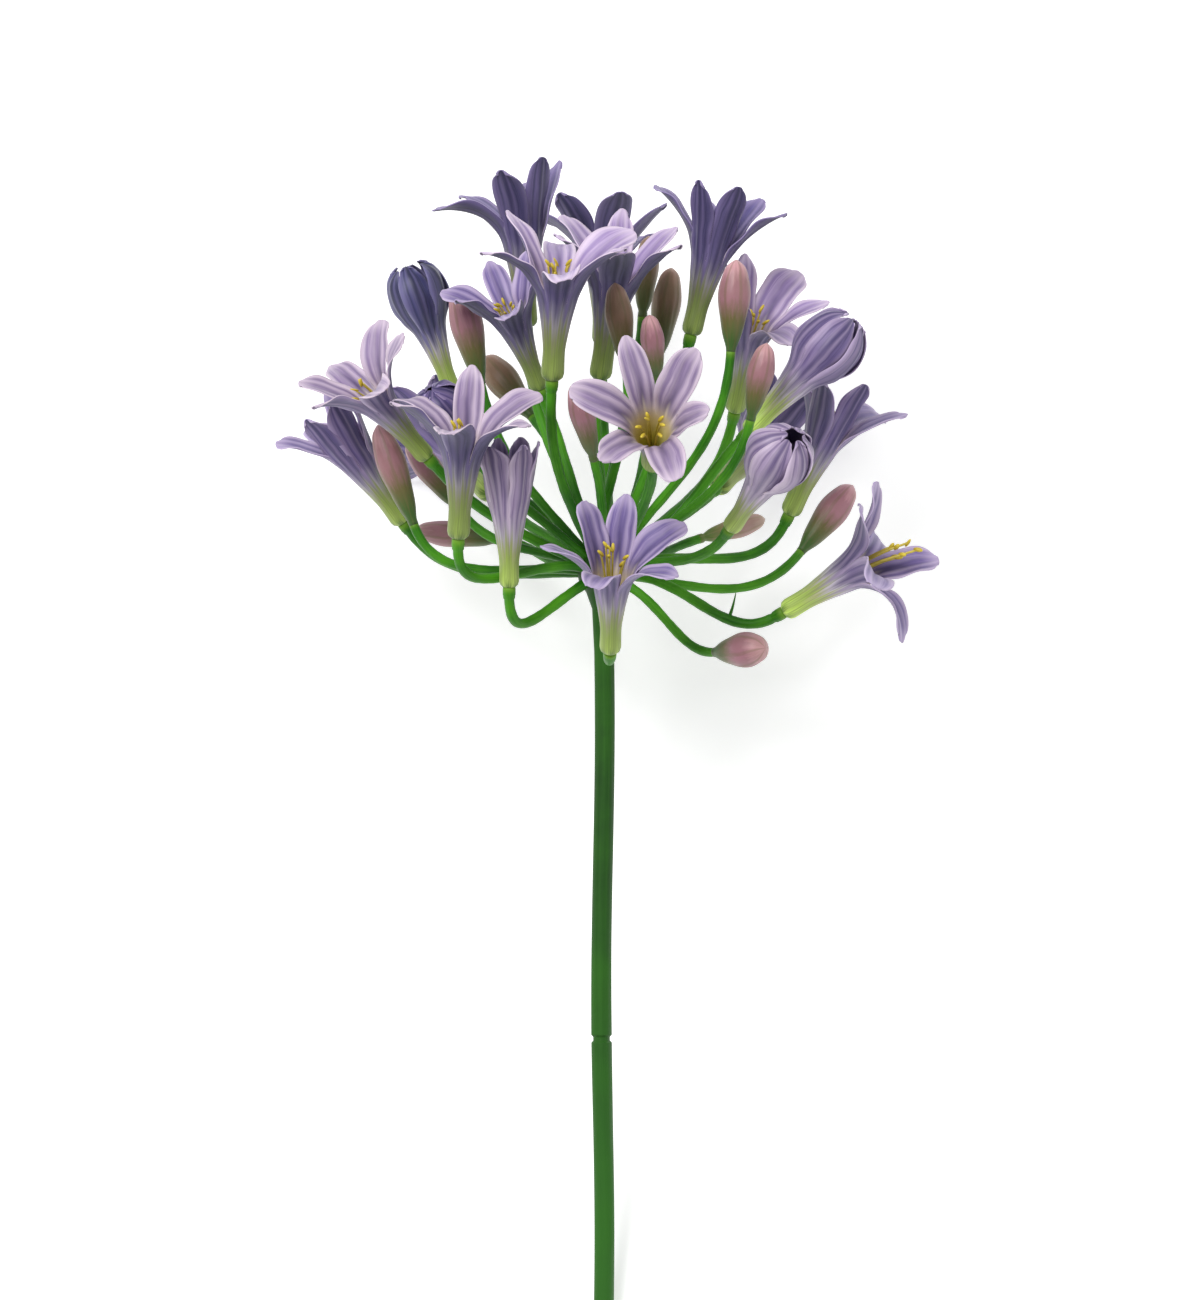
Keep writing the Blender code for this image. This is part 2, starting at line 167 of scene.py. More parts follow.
def stalk_rings(end: float, slow: float, fast: float) -> tuple[Array, Array]:
    """Return the rings of a plain stalk: a rounded root, then a radius that wavers by two sines.

    Args:
        end: Distance along the stalk of its last ring.
        slow: Angle of the long wave for each millimetre.
        fast: Angle of the short wave for each millimetre.

    Returns:
        Distances along the stalk, and radii against its usual radius.
    """
    plain = np.linspace(0.8 * MM, end, 34)
    wobble = 1.0 + 0.035 * np.sin(plain / MM * slow) + 0.02 * np.sin(plain / MM * fast)
    return np.concatenate([[0.0, 0.25 * MM], plain]), np.concatenate([[0.35, 0.8], wobble])


def dress(piece: Piece, node: str = "") -> Piece:
    """Join a finished piece to the frame.

    Args:
        piece: The piece.
        node: CAD node that it stands for, if there is one.

    Returns:
        The same piece.
    """
    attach(piece, "root")
    if node:
        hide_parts(node)
    return piece


class Spline:
    """A natural cubic curve through knots, measured by the distance along their chords."""

    def __init__(self, knots: Array, start: Array | None = None, at: Array | None = None) -> None:
        """Fit the curve.

        Args:
            knots: Points or values, one a row.
            start: Slope at the first knot, or None for a free end.
            at: Parameter of each knot, or None for the chord distance.
        """
        self.knots = np.asarray(knots, float)
        if at is None:
            steps = np.linalg.norm(np.diff(self.knots, axis=0), axis=1)
            at = np.concatenate([[0.0], np.cumsum(steps)])
        self.at = np.asarray(at, float)
        self.end = float(self.at[-1])
        self.bends = self._bends(start)

    def _bends(self, start: Array | None) -> Array:
        """Solve for the second derivatives, so that the slope is continuous at every knot.

        Args:
            start: Slope at the first knot, or None for a free end.

        Returns:
            The second derivative at each knot.
        """
        count = len(self.at)
        gaps = np.diff(self.at)
        slopes = np.diff(self.knots, axis=0) / gaps[:, None]
        system = np.eye(count)
        right = np.zeros_like(self.knots)
        rows = np.arange(1, count - 1)
        system[rows, rows - 1] = gaps[:-1]
        system[rows, rows] = 2.0 * (gaps[:-1] + gaps[1:])
        system[rows, rows + 1] = gaps[1:]
        right[1:-1] = 6.0 * np.diff(slopes, axis=0)
        if start is not None:
            system[0, :2] = (2.0 * gaps[0], gaps[0])
            right[0] = 6.0 * (slopes[0] - start)
        return np.linalg.solve(system, right)

    def _cell(self, where: Array) -> tuple[Array, Array, Array, Array]:
        """Find the stretch of the curve that each place lies on.

        Args:
            where: Distances along the curve.

        Returns:
            The knot before each place, the gap to the next knot, and the distances to both.
        """
        where = np.asarray(where, float)
        cell = np.clip(np.searchsorted(self.at, where, side="right") - 1, 0, len(self.at) - 2)
        gap = (self.at[cell + 1] - self.at[cell])[..., None]
        before = (where - self.at[cell])[..., None]
        return cell, gap, before, gap - before

    def points(self, where: Array) -> Array:
        """Return the curve: a straight blend of two knots plus cubes of both distances.

        Args:
            where: Distances along the curve.

        Returns:
            The point at each distance.
        """
        cell, gap, before, after = self._cell(where)
        low, high = self.bends[cell], self.bends[cell + 1]
        curved = (low * after**3 + high * before**3) / (6.0 * gap)
        straight = (self.knots[cell] / gap - low * gap / 6.0) * after
        return curved + straight + (self.knots[cell + 1] / gap - high * gap / 6.0) * before

    def slopes(self, where: Array) -> Array:
        """Return the derivative: the chord's rise plus squares of both distances.

        Args:
            where: Distances along the curve.

        Returns:
            The slope at each distance.
        """
        cell, gap, before, after = self._cell(where)
        low, high = self.bends[cell], self.bends[cell + 1]
        rise = (self.knots[cell + 1] - self.knots[cell]) / gap
        return rise + (high * (3.0 * before**2 - gap**2) - low * (3.0 * after**2 - gap**2)) / (6.0 * gap)


# ---------------------------------------------------------------- reading the CAD pieces


class Solid:
    """One CAD node as welded points and triangles, so that its rings can be followed."""

    def __init__(self, name: str) -> None:
        """Weld the node's loose triangles.

        Args:
            name: Name of the CAD node.
        """
        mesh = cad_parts[name].data
        mesh.calc_loop_triangles()
        loose = np.empty(len(mesh.vertices) * 3, np.float32)
        mesh.vertices.foreach_get("co", loose)
        loose = loose.reshape(-1, 3).astype(float)
        corners = np.empty(len(mesh.loop_triangles) * 3, np.int32)
        mesh.loop_triangles.foreach_get("vertices", corners)
        keys = np.round(loose * 1e6).astype(np.int64)
        _, first, inverse = np.unique(keys, axis=0, return_index=True, return_inverse=True)
        self.points = loose[first]
        self.triangles = inverse.reshape(-1)[corners].reshape(-1, 3)
        self.joined = np.zeros((len(first), len(first)), bool)
        for one, other in ((0, 1), (1, 2), (2, 0)):
            self.joined[self.triangles[:, one], self.triangles[:, other]] = True
            self.joined[self.triangles[:, other], self.triangles[:, one]] = True

    def levels(self, start: int, count: int = 40) -> list[Array]:
        """Sort points by how many edges away they are from one point.

        Args:
            start: The point to start from.
            count: Most levels wanted.

        Returns:
            The start, then the points one edge away, two edges away and so on.
        """
        seen = np.zeros(len(self.points), bool)
        seen[start] = True
        found = [np.array([start])]
        while len(found) < count:
            fresh = self.joined[found[-1]].any(axis=0) & ~seen
            if not fresh.any():
                break
            seen |= fresh
            found.append(np.nonzero(fresh)[0])
        return found

    def facing(self, other: "Solid") -> tuple[int, int]:
        """Find where this solid comes closest to another one.

        Args:
            other: The other solid.

        Returns:
            The closest point of this solid, and that of the other.
        """
        gaps = np.linalg.norm(self.points[:, None] - other.points[None], axis=2)
        mine, theirs = np.unravel_index(int(gaps.argmin()), gaps.shape)
        return int(mine), int(theirs)

    def sharpest(self, count: int) -> Array:
        """Find the points whose triangles close in to the smallest angles.

        Args:
            count: How many points are wanted.

        Returns:
            The points, sharpest first.
        """
        corners = np.zeros(len(self.points))
        for turn in ((0, 1, 2), (1, 2, 0), (2, 0, 1)):
            corner, one, other = (self.points[self.triangles[:, k]] for k in turn)
            cosine = np.sum(unit(one - corner) * unit(other - corner), axis=1)
            np.add.at(corners, self.triangles[:, turn[0]], np.arccos(np.clip(cosine, -1.0, 1.0)))
        return np.argsort(corners)[:count]

    def ring(self, members: Array) -> tuple[Array, float]:
        """Return the middle of a ring of points and its mean radius."""
        middle = self.points[members].mean(axis=0)
        return middle, float(np.linalg.norm(self.points[members] - middle, axis=1).mean())

    def rings(self, pole: int) -> tuple[Array, Array]:
        """Return the middles and the mean radii of all rings, from a pole on."""
        found = [self.ring(members) for members in self.levels(pole)]
        return np.array([middle for middle, _ in found]), np.array([radius for _, radius in found])


@dataclass
class Course:
    """The middle line of a stalk with its radius at each ring."""

    middles: Array
    radii: Array

    @classmethod
    def read(cls, solid: Solid, pole: int) -> "Course":
        """Follow a solid ring by ring from one pole, and return it from its far end to that pole."""
        middles, radii = solid.rings(pole)
        return cls(middles[::-1], radii[::-1])

    def plant(self, hub: Array, depth: float = 2.4 * MM) -> None:
        """Push the root into the hub."""
        self.middles[0] += unit(hub - self.middles[0]) * depth

    def lift(self, up: Array, sag: float) -> None:
        """Raise the hanging part, by a hyperbolic tangent of how far it hangs.

        Args:
            up: Upward direction.
            sag: Furthest that the line may hang below its end.
        """
        heights = (self.middles - self.middles[-1]) @ up
        raised = np.where(heights < 0.0, -sag * np.tanh(-heights / sag), heights)
        self.middles = self.middles + (raised - heights)[:, None] * up


@dataclass(frozen=True)
class Rank:
    """What sets the front three petals of a floret apart from the back three.

    Attributes:
        blunt: How far the corners of the tip fall back, as a share of the petal's length.
        keep: Share of the width that is left at the tip.
        shift: How far the petal stands inwards, in millimetres.
    """

    blunt: float
    keep: float
    shift: float


FRONT = Rank(0.04, 0.34, 0.40)
REAR = Rank(0.065, 0.22, -0.35)


@dataclass
class PetalPlan:
    """Where one petal of a floret runs.

    Attributes:
        azimuth: Angle about the floret's axis.
        knots: Rim point, three sections and the tip.
        half_width: Greatest half width.
        inner: Whether it belongs to the front three.
    """

    azimuth: float
    knots: Array
    half_width: float
    inner: bool = False

    @property
    def rank(self) -> Rank:
        """What sets the petal apart."""
        return FRONT if self.inner else REAR


@dataclass
class FloretPlan:
    """Places of a floret's tube and petals.

    Attributes:
        number: Number of the floret.
        base: Foot of the tube.
        axis: Direction of the tube.
        side: Direction across it, from which angles count.
        front: Direction across both.
        heights: Height of each ring of the tube above the base.
        radii: Radius of each ring.
        petals: The six petals, in the order of their angles.
    """

    number: int
    base: Array
    axis: Array
    side: Array
    front: Array
    heights: Array
    radii: Array
    petals: list[PetalPlan] = field(default_factory=list)

    @property
    def scale(self) -> float:
        """Size against a standard floret, whose tube is 24 mm long."""
        return float(self.heights[-1]) / (24.0 * MM)

    @property
    def openness(self) -> float:
        """Mean distance of the petal tips from the axis, in metres."""
        tips = np.array([petal.knots[-1] for petal in self.petals])
        return float(np.linalg.norm(square_to(tips - self.base, self.axis), axis=1).mean())

    def outward(self, azimuth: Array | float) -> Array:
        """Return the direction away from the axis at an angle about it."""
        azimuth = np.asarray(azimuth)[..., None]
        return np.cos(azimuth) * self.side + np.sin(azimuth) * self.front

    @classmethod
    def read(cls, number: int) -> "FloretPlan":
        """Read one floret from its CAD node.

        Args:
            number: Number of the floret.

        Returns:
            Its plan, with six petals.
        """
        solid = Solid(f"floret_{number:02d}")
        base, _ = solid.facing(Solid(f"pedicel_{number:02d}"))
        rings = solid.levels(base)[1:6]
        middles = np.array([solid.ring(members)[0] for members in rings])
        axis = unit(middles[-1] - middles[0])
        away = np.linalg.norm(square_to(solid.points - middles[-1], axis), axis=1)
        radii = np.array([away[members].max() for members in rings])
        side = unit(square_to(solid.points[rings[-1][0]] - middles[-1], axis))
        foot = middles[0] - axis * 0.15 * MM
        plan = cls(number, foot, axis, side, np.cross(axis, side), (middles - foot) @ axis, radii)
        plan.petals = sorted((plan._petal(solid, tip) for tip in solid.sharpest(PETALS)),
                             key=lambda petal: petal.azimuth)
        plan._tell_inner()
        return plan

    def _petal(self, solid: Solid, tip: int) -> PetalPlan:
        """Read one petal back from its tip to the rim.

        Args:
            solid: The floret's solid.
            tip: The point at the petal's tip.

        Returns:
            The petal's plan, its angle rounded to a twelfth of a turn.
        """
        sections = solid.levels(tip, count=4)[1:]
        middles = [solid.points[members].mean(axis=0) for members in sections]
        away = square_to(middles[-1] - self.base, self.axis)
        azimuth = math.atan2(float(away @ self.front), float(away @ self.side))
        azimuth = round(azimuth / TWELFTH) * TWELFTH % TURN
        along = np.cross(self.axis, self.outward(azimuth))
        widths = [float(np.ptp(solid.points[members] @ along)) / 2.0 for members in sections]
        rim = self.base + self.axis * self.heights[-1] + self.outward(azimuth) * self.radii[-1]
        knots = np.array([rim, *middles[::-1], solid.points[tip]])
        return PetalPlan(azimuth, knots, max(widths))

    def _tell_inner(self) -> None:
        """Mark every second petal, starting with the wider three, as an inner one."""
        evens = sum(petal.half_width for petal in self.petals[0::2])
        odds = sum(petal.half_width for petal in self.petals[1::2])
        for place, petal in enumerate(self.petals):
            petal.inner = (place % 2 == 0) == (evens > odds)


# ---------------------------------------------------------------- meshes in the making


class Draft:
    """Points and grids of faces collected into one mesh object."""

    def __init__(self) -> None:
        """Start an empty draft."""
        self.points: list[Array] = []
        self.count = 0
        self.faces: dict[int, list[tuple[Array, Array, int]]] = {3: [], 4: []}

    def add(self, points: Array) -> Array:
        """Add points.

        Args:
            points: Points in any grid shape.

        Returns:
            Their numbers in that shape.
        """
        flat = points.reshape(-1, 3)
        numbers = self.count + np.arange(len(flat))
        self.points.append(flat)
        self.count += len(flat)
        return numbers.reshape(points.shape[:-1])

    def grid(self, index: Array, across: Array, along: Array, slot: int = 0) -> None:
        """Add the faces of a grid, which may close to poles at its first or last row.

        Args:
            index: Point numbers, rows by columns.
            across: Map coordinate of each column.
            along: Map coordinate of each row.
            slot: Material slot of the faces.
        """
        flow = np.stack(np.broadcast_arrays(across[None, :], along[:, None]), axis=-1)
        order = ((slice(None, -1), slice(None, -1)), (slice(None, -1), slice(1, None)),
                 (slice(1, None), slice(1, None)), (slice(1, None), slice(None, -1)))
        corners = np.stack([index[part] for part in order], axis=-1).reshape(-1, 4)
        places = np.stack([flow[part] for part in order], axis=-2).reshape(-1, 4, 2)
        low = corners[:, 0] == corners[:, 1]
        high = corners[:, 2] == corners[:, 3]
        for kept, chosen in ((~low & ~high, [0, 1, 2, 3]), (low, [0, 2, 3]), (high, [0, 1, 2])):
            self.faces[len(chosen)].append((corners[kept][:, chosen], places[kept][:, chosen], slot))

    def finish(self, name: str, materials: list[Material], low: float = 0.0) -> Piece:
        """Make the mesh object with smooth faces.

        Args:
            name: Name of the object.
            materials: Material of each slot.
            low: Least height of any point.

        Returns:
            The object, linked to the scene.
        """
        parts = [part for size in (3, 4) for part in self.faces[size] if len(part[0])]
        corners = np.concatenate([part[0].ravel() for part in parts])
        flow = np.concatenate([part[1].reshape(-1, 2) for part in parts])
        sizes = np.concatenate([np.full(len(part[0]), part[0].shape[1]) for part in parts])
        slots = np.concatenate([np.full(len(part[0]), part[2]) for part in parts])
        points = np.concatenate(self.points)
        points[:, 2] = np.maximum(points[:, 2], low)
        mesh = bpy.data.meshes.new(name)
        mesh.vertices.add(len(points))
        mesh.vertices.foreach_set("co", points.astype(np.float32).ravel())
        mesh.loops.add(len(corners))
        mesh.loops.foreach_set("vertex_index", corners.astype(np.int32))
        mesh.polygons.add(len(sizes))
        starts = np.concatenate([[0], np.cumsum(sizes)[:-1]])
        mesh.polygons.foreach_set("loop_start", starts.astype(np.int32))
        mesh.polygons.foreach_set("material_index", slots.astype(np.int32))
        layer = mesh.uv_layers.new(name="flow")
        layer.data.foreach_set("uv", flow.astype(np.float32).ravel())
        mesh.update(calc_edges=True)
        mesh.validate()
        mesh.shade_smooth()
        for material in materials:
            mesh.materials.append(material)
        piece = bpy.data.objects.new(name, mesh)
        bpy.context.scene.collection.objects.link(piece)
        return piece


@dataclass
class Tube:
    """A round skin along a spline, closed at both ends.

    Attributes:
        spline: Middle line.
        at: Distances along the line, one for each ring.
        radii: Radius of each ring.
        sides: Points round a ring.
        relief: Optional factor on the radius, rings by sides.
    """

    spline: Spline
    at: Array
    radii: Array
    sides: int = 16
    relief: Array | None = None

    def lay(self, draft: Draft, slot: int = 0) -> None:
        """Add the skin: each ring is the middle plus the radius times cosine and sine of the angle.

        Args:
            draft: Draft that takes the skin, with map coordinates round it and along it.
            slot: Material slot of its faces.
        """
        middles = self.spline.points(self.at)
        headings = unit(self.spline.slopes(self.at))
        sides, fronts = self._frames(headings)
        angle = angles(self.sides)
        around = (np.cos(angle)[None, :, None] * sides[:, None]
                  + np.sin(angle)[None, :, None] * fronts[:, None])
        radii = self.radii[:, None] * (1.0 if self.relief is None else self.relief)
        radii = np.broadcast_to(radii, around.shape[:2])
        rings = draft.add(middles[:, None] + around * radii[..., None])
        poles = draft.add(middles[[0, -1]])
        rings = np.concatenate([rings, rings[:, :1]], axis=1)
        columns = self.sides + 1
        index = np.concatenate([np.full((1, columns), poles[0]), rings, np.full((1, columns), poles[1])])
        share = (self.at - self.at[0]) / (self.at[-1] - self.at[0])
        along = np.concatenate([[0.0], share, [1.0]])
        draft.grid(index, np.linspace(0.0, 1.0, columns), along, slot)

    @staticmethod
    def _frames(headings: Array) -> tuple[Array, Array]:
        """Carry one crosswise direction along the line without twist.

        Args:
            headings: Direction of the line at each ring.

        Returns:
            Two directions across the line at each ring.
        """
        seed = np.eye(3)[int(np.abs(headings[0]).argmin())]
        sides = [unit(square_to(seed, headings[0]))]
        for heading in headings[1:]:
            sides.append(unit(square_to(sides[-1], heading)))
        sides = np.array(sides)
        return sides, np.cross(headings, sides)


# ---------------------------------------------------------------- node helpers

Input = float | Rgba | Socket


class Graph:
    """Short calls that add nodes to one tree and join them."""

    def __init__(self, tree: bpy.types.NodeTree) -> None:
        """Work on one node tree."""
        self.tree = tree

    def node(self, kind: str, **settings: object) -> bpy.types.Node:
        """Add a node.

        Args:
            kind: Type of the node.
            settings: Its properties by name.

        Returns:
            The node.
        """
        made = self.tree.nodes.new(kind)
        for name, value in settings.items():
            setattr(made, name, value)
        return made

    def put(self, socket: Socket, value: Input) -> None:
        """Give a socket its value.

        Args:
            socket: An input socket.
            value: Another socket to join it to, or its constant.
        """
        if isinstance(value, bpy.types.NodeSocket):
            self.tree.links.new(value, socket)
        else:
            socket.default_value = value

    def filled(self, made: bpy.types.Node, *values: Input) -> Socket:
        """Give a node's first inputs their values.

        Args:
            made: The node.
            values: Value of each input, in order.

        Returns:
            Its first output.
        """
        for socket, value in zip(made.inputs, values):
            self.put(socket, value)
        return made.outputs[0]

    def math(self, operation: str, *values: Input, clamp: bool = False) -> Socket:
        """Return the result of a Math node."""
        return self.filled(self.node("ShaderNodeMath", operation=operation, use_clamp=clamp), *values)

    def times(self, value: Input, factor: Input) -> Socket:
        """Return the product of two values."""
        return self.math("MULTIPLY", value, factor)

    def scaled(self, value: Input, factor: Input, plus: Input, clamp: bool = False) -> Socket:
        """Return a value times a factor plus another value."""
        return self.math("MULTIPLY_ADD", value, factor, plus, clamp=clamp)

    def step(self, value: Input, low: float, high: float) -> Socket:
        """Return 0 to 1 as the value goes from low to high, eased."""
        made = self.node("ShaderNodeMapRange", interpolation_type="SMOOTHSTEP")
        return self.filled(made, value, low, high, 0.0, 1.0)

    def fall(self, value: Input, low: float, high: float) -> Socket:
        """Return 1 to 0 as the value goes from low to high, eased."""
        return self.math("SUBTRACT", 1.0, self.step(value, low, high))

    def vector(self, first: Input, second: Input, third: Input = 0.0) -> Socket:
        """Return three values joined to one vector."""
        return self.filled(self.node("ShaderNodeCombineXYZ"), first, second, third)

    def mix(self, factor: Input, first: Input, second: Input) -> Socket:
        """Blend two colours.

        Args:
            factor: Share of the second colour.
            first: First colour.
            second: Second colour.

        Returns:
            The blend.
        """
        made = self.node("ShaderNodeMix", data_type="RGBA")
        for place, value in ((0, factor), (6, first), (7, second)):
            self.put(made.inputs[place], value)
        return made.outputs[2]

    def coats(self, colour: Input, *coats: tuple[Socket, Input, Rgb]) -> Input:
        """Lay coats over a colour, each blended in by its mask times its strength.

        Args:
            colour: Colour underneath.
            coats: Mask, strength and display colour of each coat.

        Returns:
            The colour that shows.
        """
        for mask, strength, rgb in coats:
            colour = self.mix(self.times(mask, strength), colour, linear(rgb))
        return colour

    def place(self) -> Socket:
        """Return the place in the object."""
        return self.node("ShaderNodeTexCoord").outputs["Object"]

    def noise(self, place: Input, scale: Input, detail: float, rough: float) -> Socket:
        """Add a noise.

        Args:
            place: Place in the noise.
            scale: How fine it is.
            detail: Number of its finer layers.
            rough: Strength of the finer layers.

        Returns:
            Its value, about 0.5 on average.
        """
        made = self.node("ShaderNodeTexNoise")
        for key, value in (("Vector", place), ("Scale", scale), ("Detail", detail), ("Roughness", rough)):
            self.put(made.inputs[key], value)
        return made.outputs[0]

    def ramp(self, factor: Input, *stops: tuple[float, Rgba]) -> Socket:
        """Add a colour that runs through stops.

        Args:
            factor: Place on the ramp.
            stops: Place and colour of each stop.

        Returns:
            The colour.
        """
        made = self.node("ShaderNodeValToRGB")
        band = made.color_ramp
        band.elements.remove(band.elements[1])
        band.elements[0].position, band.elements[0].color = stops[0]
        for position, colour in stops[1:]:
            band.elements.new(position).color = colour
        return self.filled(made, factor)

    def flow(self) -> tuple[Socket, Socket]:
        """Read the piece's map.

        Returns:
            Its two coordinates: across or round, and along.
        """
        parts = self.node("ShaderNodeSeparateXYZ")
        self.put(parts.inputs[0], self.node("ShaderNodeUVMap", uv_map="flow").outputs[0])
        return parts.outputs[0], parts.outputs[1]


class SharedGroups:
    """Node groups that several finishes use, each made once."""

    def __init__(self) -> None:
        """Start with no groups."""
        self.made: dict[str, bpy.types.NodeTree] = {}

    def use(self, graph: Graph, name: str, **inputs: Input) -> bpy.types.NodeOutputs:
        """Add a shared group to a graph.

        Args:
            graph: Graph that takes it.
            name: Name of the group, which is made at its first use.
            inputs: Its inputs by name.

        Returns:
            Its outputs.
        """
        if name not in self.made:
            self.made[name] = getattr(self, f"_{name}")()
        made = graph.node("ShaderNodeGroup", node_tree=self.made[name])
        for key, value in inputs.items():
            graph.put(made.inputs[key], value)
        return made.outputs

    @staticmethod
    def _start(name: str, inputs: dict[str, float], outputs: dict[str, str]) -> tuple[Graph, dict, dict]:
        """Make an empty group.

        Args:
            name: Name of the group.
            inputs: Default value of each input.
            outputs: Kind of each output: Float or Vector.

        Returns:
            Its graph, its input sockets and its output sockets.
        """
        tree = bpy.data.node_groups.new(name, "ShaderNodeTree")
        for key, value in inputs.items():
            socket = tree.interface.new_socket(key, in_out="INPUT", socket_type="NodeSocketFloat")
            socket.default_value = value
        for key, kind in outputs.items():
            tree.interface.new_socket(key, in_out="OUTPUT", socket_type=f"NodeSocket{kind}")
        graph = Graph(tree)
        source = graph.node("NodeGroupInput").outputs
        target = graph.node("NodeGroupOutput").inputs
        return graph, {key: source[key] for key in inputs}, {key: target[key] for key in outputs}

    def _petal_lines(self) -> bpy.types.NodeTree:
        """Masks of a petal: midrib, the ridges beside it (a painted highlight along the folds), the furrows
        (painted shade in them), margin, long veins and soft bands.

        Returns:
            The group. Its masks step on the distance from the middle plus a noise stretched lengthwise.
        """
        kinds = dict.fromkeys(("Midrib", "RidgeHighlight", "FurrowShade", "Margin", "Veins", "Bands"), "Float")
        graph, source, target = self._start("petal_lines", {"Across": 0.5, "Along": 0.5}, kinds)
        drift = graph.noise(graph.place(), 70.0, 2.0, 0.55)
        sway = graph.math("ADD", source["Across"], graph.times(graph.math("SUBTRACT", drift, 0.5), 0.22))
        middle = graph.math("ABSOLUTE", graph.scaled(sway, 2.0, -1.0))
        streaks = []
        for across, along, detail, rough in ((15.0, 2.2, 3.0, 0.6), (5.5, 1.4, 2.0, 0.5)):
            place = graph.vector(graph.times(sway, across), graph.times(source["Along"], along), drift)
            streaks.append(graph.noise(place, 1.0, detail, rough))
        veins, bands = streaks
        wide = graph.scaled(veins, 0.30, middle)
        graph.put(target["Midrib"], graph.fall(wide, 0.14, 0.42))
        # These two masks lie over the sheet's folds and furrows: a painted highlight along the folds and
        # painted shade in the furrows.
        for key, centre, breadth in (("RidgeHighlight", 0.52, 0.26), ("FurrowShade", 0.86, 0.22)):
            off = graph.math("ABSOLUTE", graph.math("SUBTRACT", wide, centre))
            graph.put(target[key], graph.fall(off, 0.03, breadth))
        graph.put(target["Margin"], graph.step(graph.scaled(veins, 0.34, middle), 0.76, 1.12))
        graph.put(target["Veins"], graph.step(veins, 0.36, 0.66))
        graph.put(target["Bands"], graph.step(bands, 0.36, 0.64))
        return graph.tree

    def _mottle(self) -> bpy.types.NodeTree:
        """Make soft patches of light and dark through the piece, from 0 to 1.

        Returns:
            The group.
        """
        graph, source, target = self._start("mottle", {"Scale": 60.0}, {"Value": "Float"})
        noise = graph.noise(graph.place(), source["Scale"], 4.0, 0.5)
        graph.put(target["Value"], graph.step(noise, 0.3, 0.7))
        return graph.tree

    def _long_grain(self) -> bpy.types.NodeTree:
        """Make fine lines along a piece: a noise on a cylinder stretched lengthwise.

        Returns:
            The group, with the lines and the normal that they bend.
        """
        inputs = {"Across": 0.5, "Along": 0.5, "Lines": 30.0, "Depth": 0.3}
        graph, source, target = self._start("long_grain", inputs, {"Value": "Float", "Normal": "Vector"})
        turn = graph.times(source["Across"], TURN)
        reach = graph.times(source["Lines"], 0.16)
        place = graph.vector(graph.times(graph.math("COSINE", turn), reach),
                             graph.times(graph.math("SINE", turn), reach),
                             graph.times(source["Along"], 5.0))
        return self._embossed(graph, source, target, graph.noise(place, 1.0, 5.0, 0.6), 0.0004)

    def _weave(self) -> bpy.types.NodeTree:
        """Make a very fine cloth grain, with the normal that it bends."""
        graph, source, target = self._start("weave", {"Depth": 0.3}, {"Value": "Float", "Normal": "Vector"})
        return self._embossed(graph, source, target, graph.noise(graph.place(), 900.0, 4.0, 0.6), 0.0002)

    @staticmethod
    def _embossed(graph: Graph, source: dict, target: dict, height: Socket,
                  distance: float) -> bpy.types.NodeTree:
        """Finish a group that puts out a height and the normal that goes with it.

        Args:
            graph: The group's graph.
            source: Its input sockets, with a Depth.
            target: Its output sockets.
            height: The height.
            distance: Size of the relief in metres.

        Returns:
            The group.
        """
        bump = graph.node("ShaderNodeBump")
        bump.inputs["Distance"].default_value = distance
        graph.put(bump.inputs["Strength"], source["Depth"])
        graph.put(bump.inputs["Height"], height)
        graph.put(target["Value"], height)
        graph.put(target["Normal"], bump.outputs[0])
        return graph.tree


GROUPS = SharedGroups()


def shader(name: str, roughness: float, sheen: float = 0.0) -> tuple[Material, Graph, bpy.types.NodeInputs]:
    """Make a material.

    Args:
        name: Name of the material.
        roughness: Roughness that it starts from.
        sheen: Strength of its sheen.

    Returns:
        The material, its graph and the Principled sockets.
    """
    material = bpy.data.materials.new(name)
    material.use_nodes = True
    principled = next(node for node in material.node_tree.nodes if node.type == "BSDF_PRINCIPLED")
    principled.inputs["Roughness"].default_value = roughness
    principled.inputs["Sheen Weight"].default_value = sheen
    return material, Graph(material.node_tree), principled.inputs


# ---------------------------------------------------------------- finishes


@dataclass(frozen=True)
class PetalColours:
    """Display colours of one shade of petal.

    Attributes:
        face: Inner side.
        margin: Its edges.
        midrib: Its middle stripe.
        vein: Its fine lines.
        back: Outer side.
        back_line: Its lines.
        back_margin: Its edges.
        glow: How light the tube is: a factor on the same tube colours, giving lighter and darker copies that
            are partly painted light and shade.
    """

    face: Rgb
    margin: Rgb
    midrib: Rgb
    vein: Rgb
    back: Rgb
    back_line: Rgb
    back_margin: Rgb
    glow: float = 1.0


PETAL_COLOURS = {
    Shade.PALE: PetalColours((176, 152, 200), (236, 218, 238), (74, 60, 112), (122, 98, 164),
                             (114, 98, 146), (60, 50, 98), (194, 174, 208), 1.18),
    Shade.MAUVE: PetalColours((162, 140, 178), (228, 210, 226), (64, 50, 96), (108, 88, 138),
                              (114, 98, 146), (60, 50, 98), (194, 174, 208), 0.92),
    Shade.LILAC: PetalColours((110, 96, 142), (192, 172, 206), (46, 40, 78), (82, 68, 122),
                              (154, 134, 170), (82, 68, 112), (222, 204, 224)),
    Shade.MIDDLE: PetalColours((130, 112, 170), (212, 194, 226), (50, 42, 94), (84, 68, 138),
                               (96, 82, 134), (44, 38, 84), (168, 148, 188), 0.92),
    Shade.DARK: PetalColours((98, 88, 146), (166, 150, 194), (38, 34, 80), (64, 56, 112),
                             (74, 66, 110), (34, 30, 68), (120, 106, 152), 0.80),
    Shade.NAVY: PetalColours((56, 54, 98), (130, 122, 168), (26, 26, 54), (38, 38, 78),
                             (58, 58, 106), (24, 25, 52), (126, 120, 168)),
}
# The throat's own cream-yellow, made lighter than it is: partly painted light deep in the narrow tube.
THROAT = ((0.0, (196, 196, 60)), (0.30, (226, 214, 96)), (0.44, (222, 204, 150)), (0.56, (240, 226, 216)))
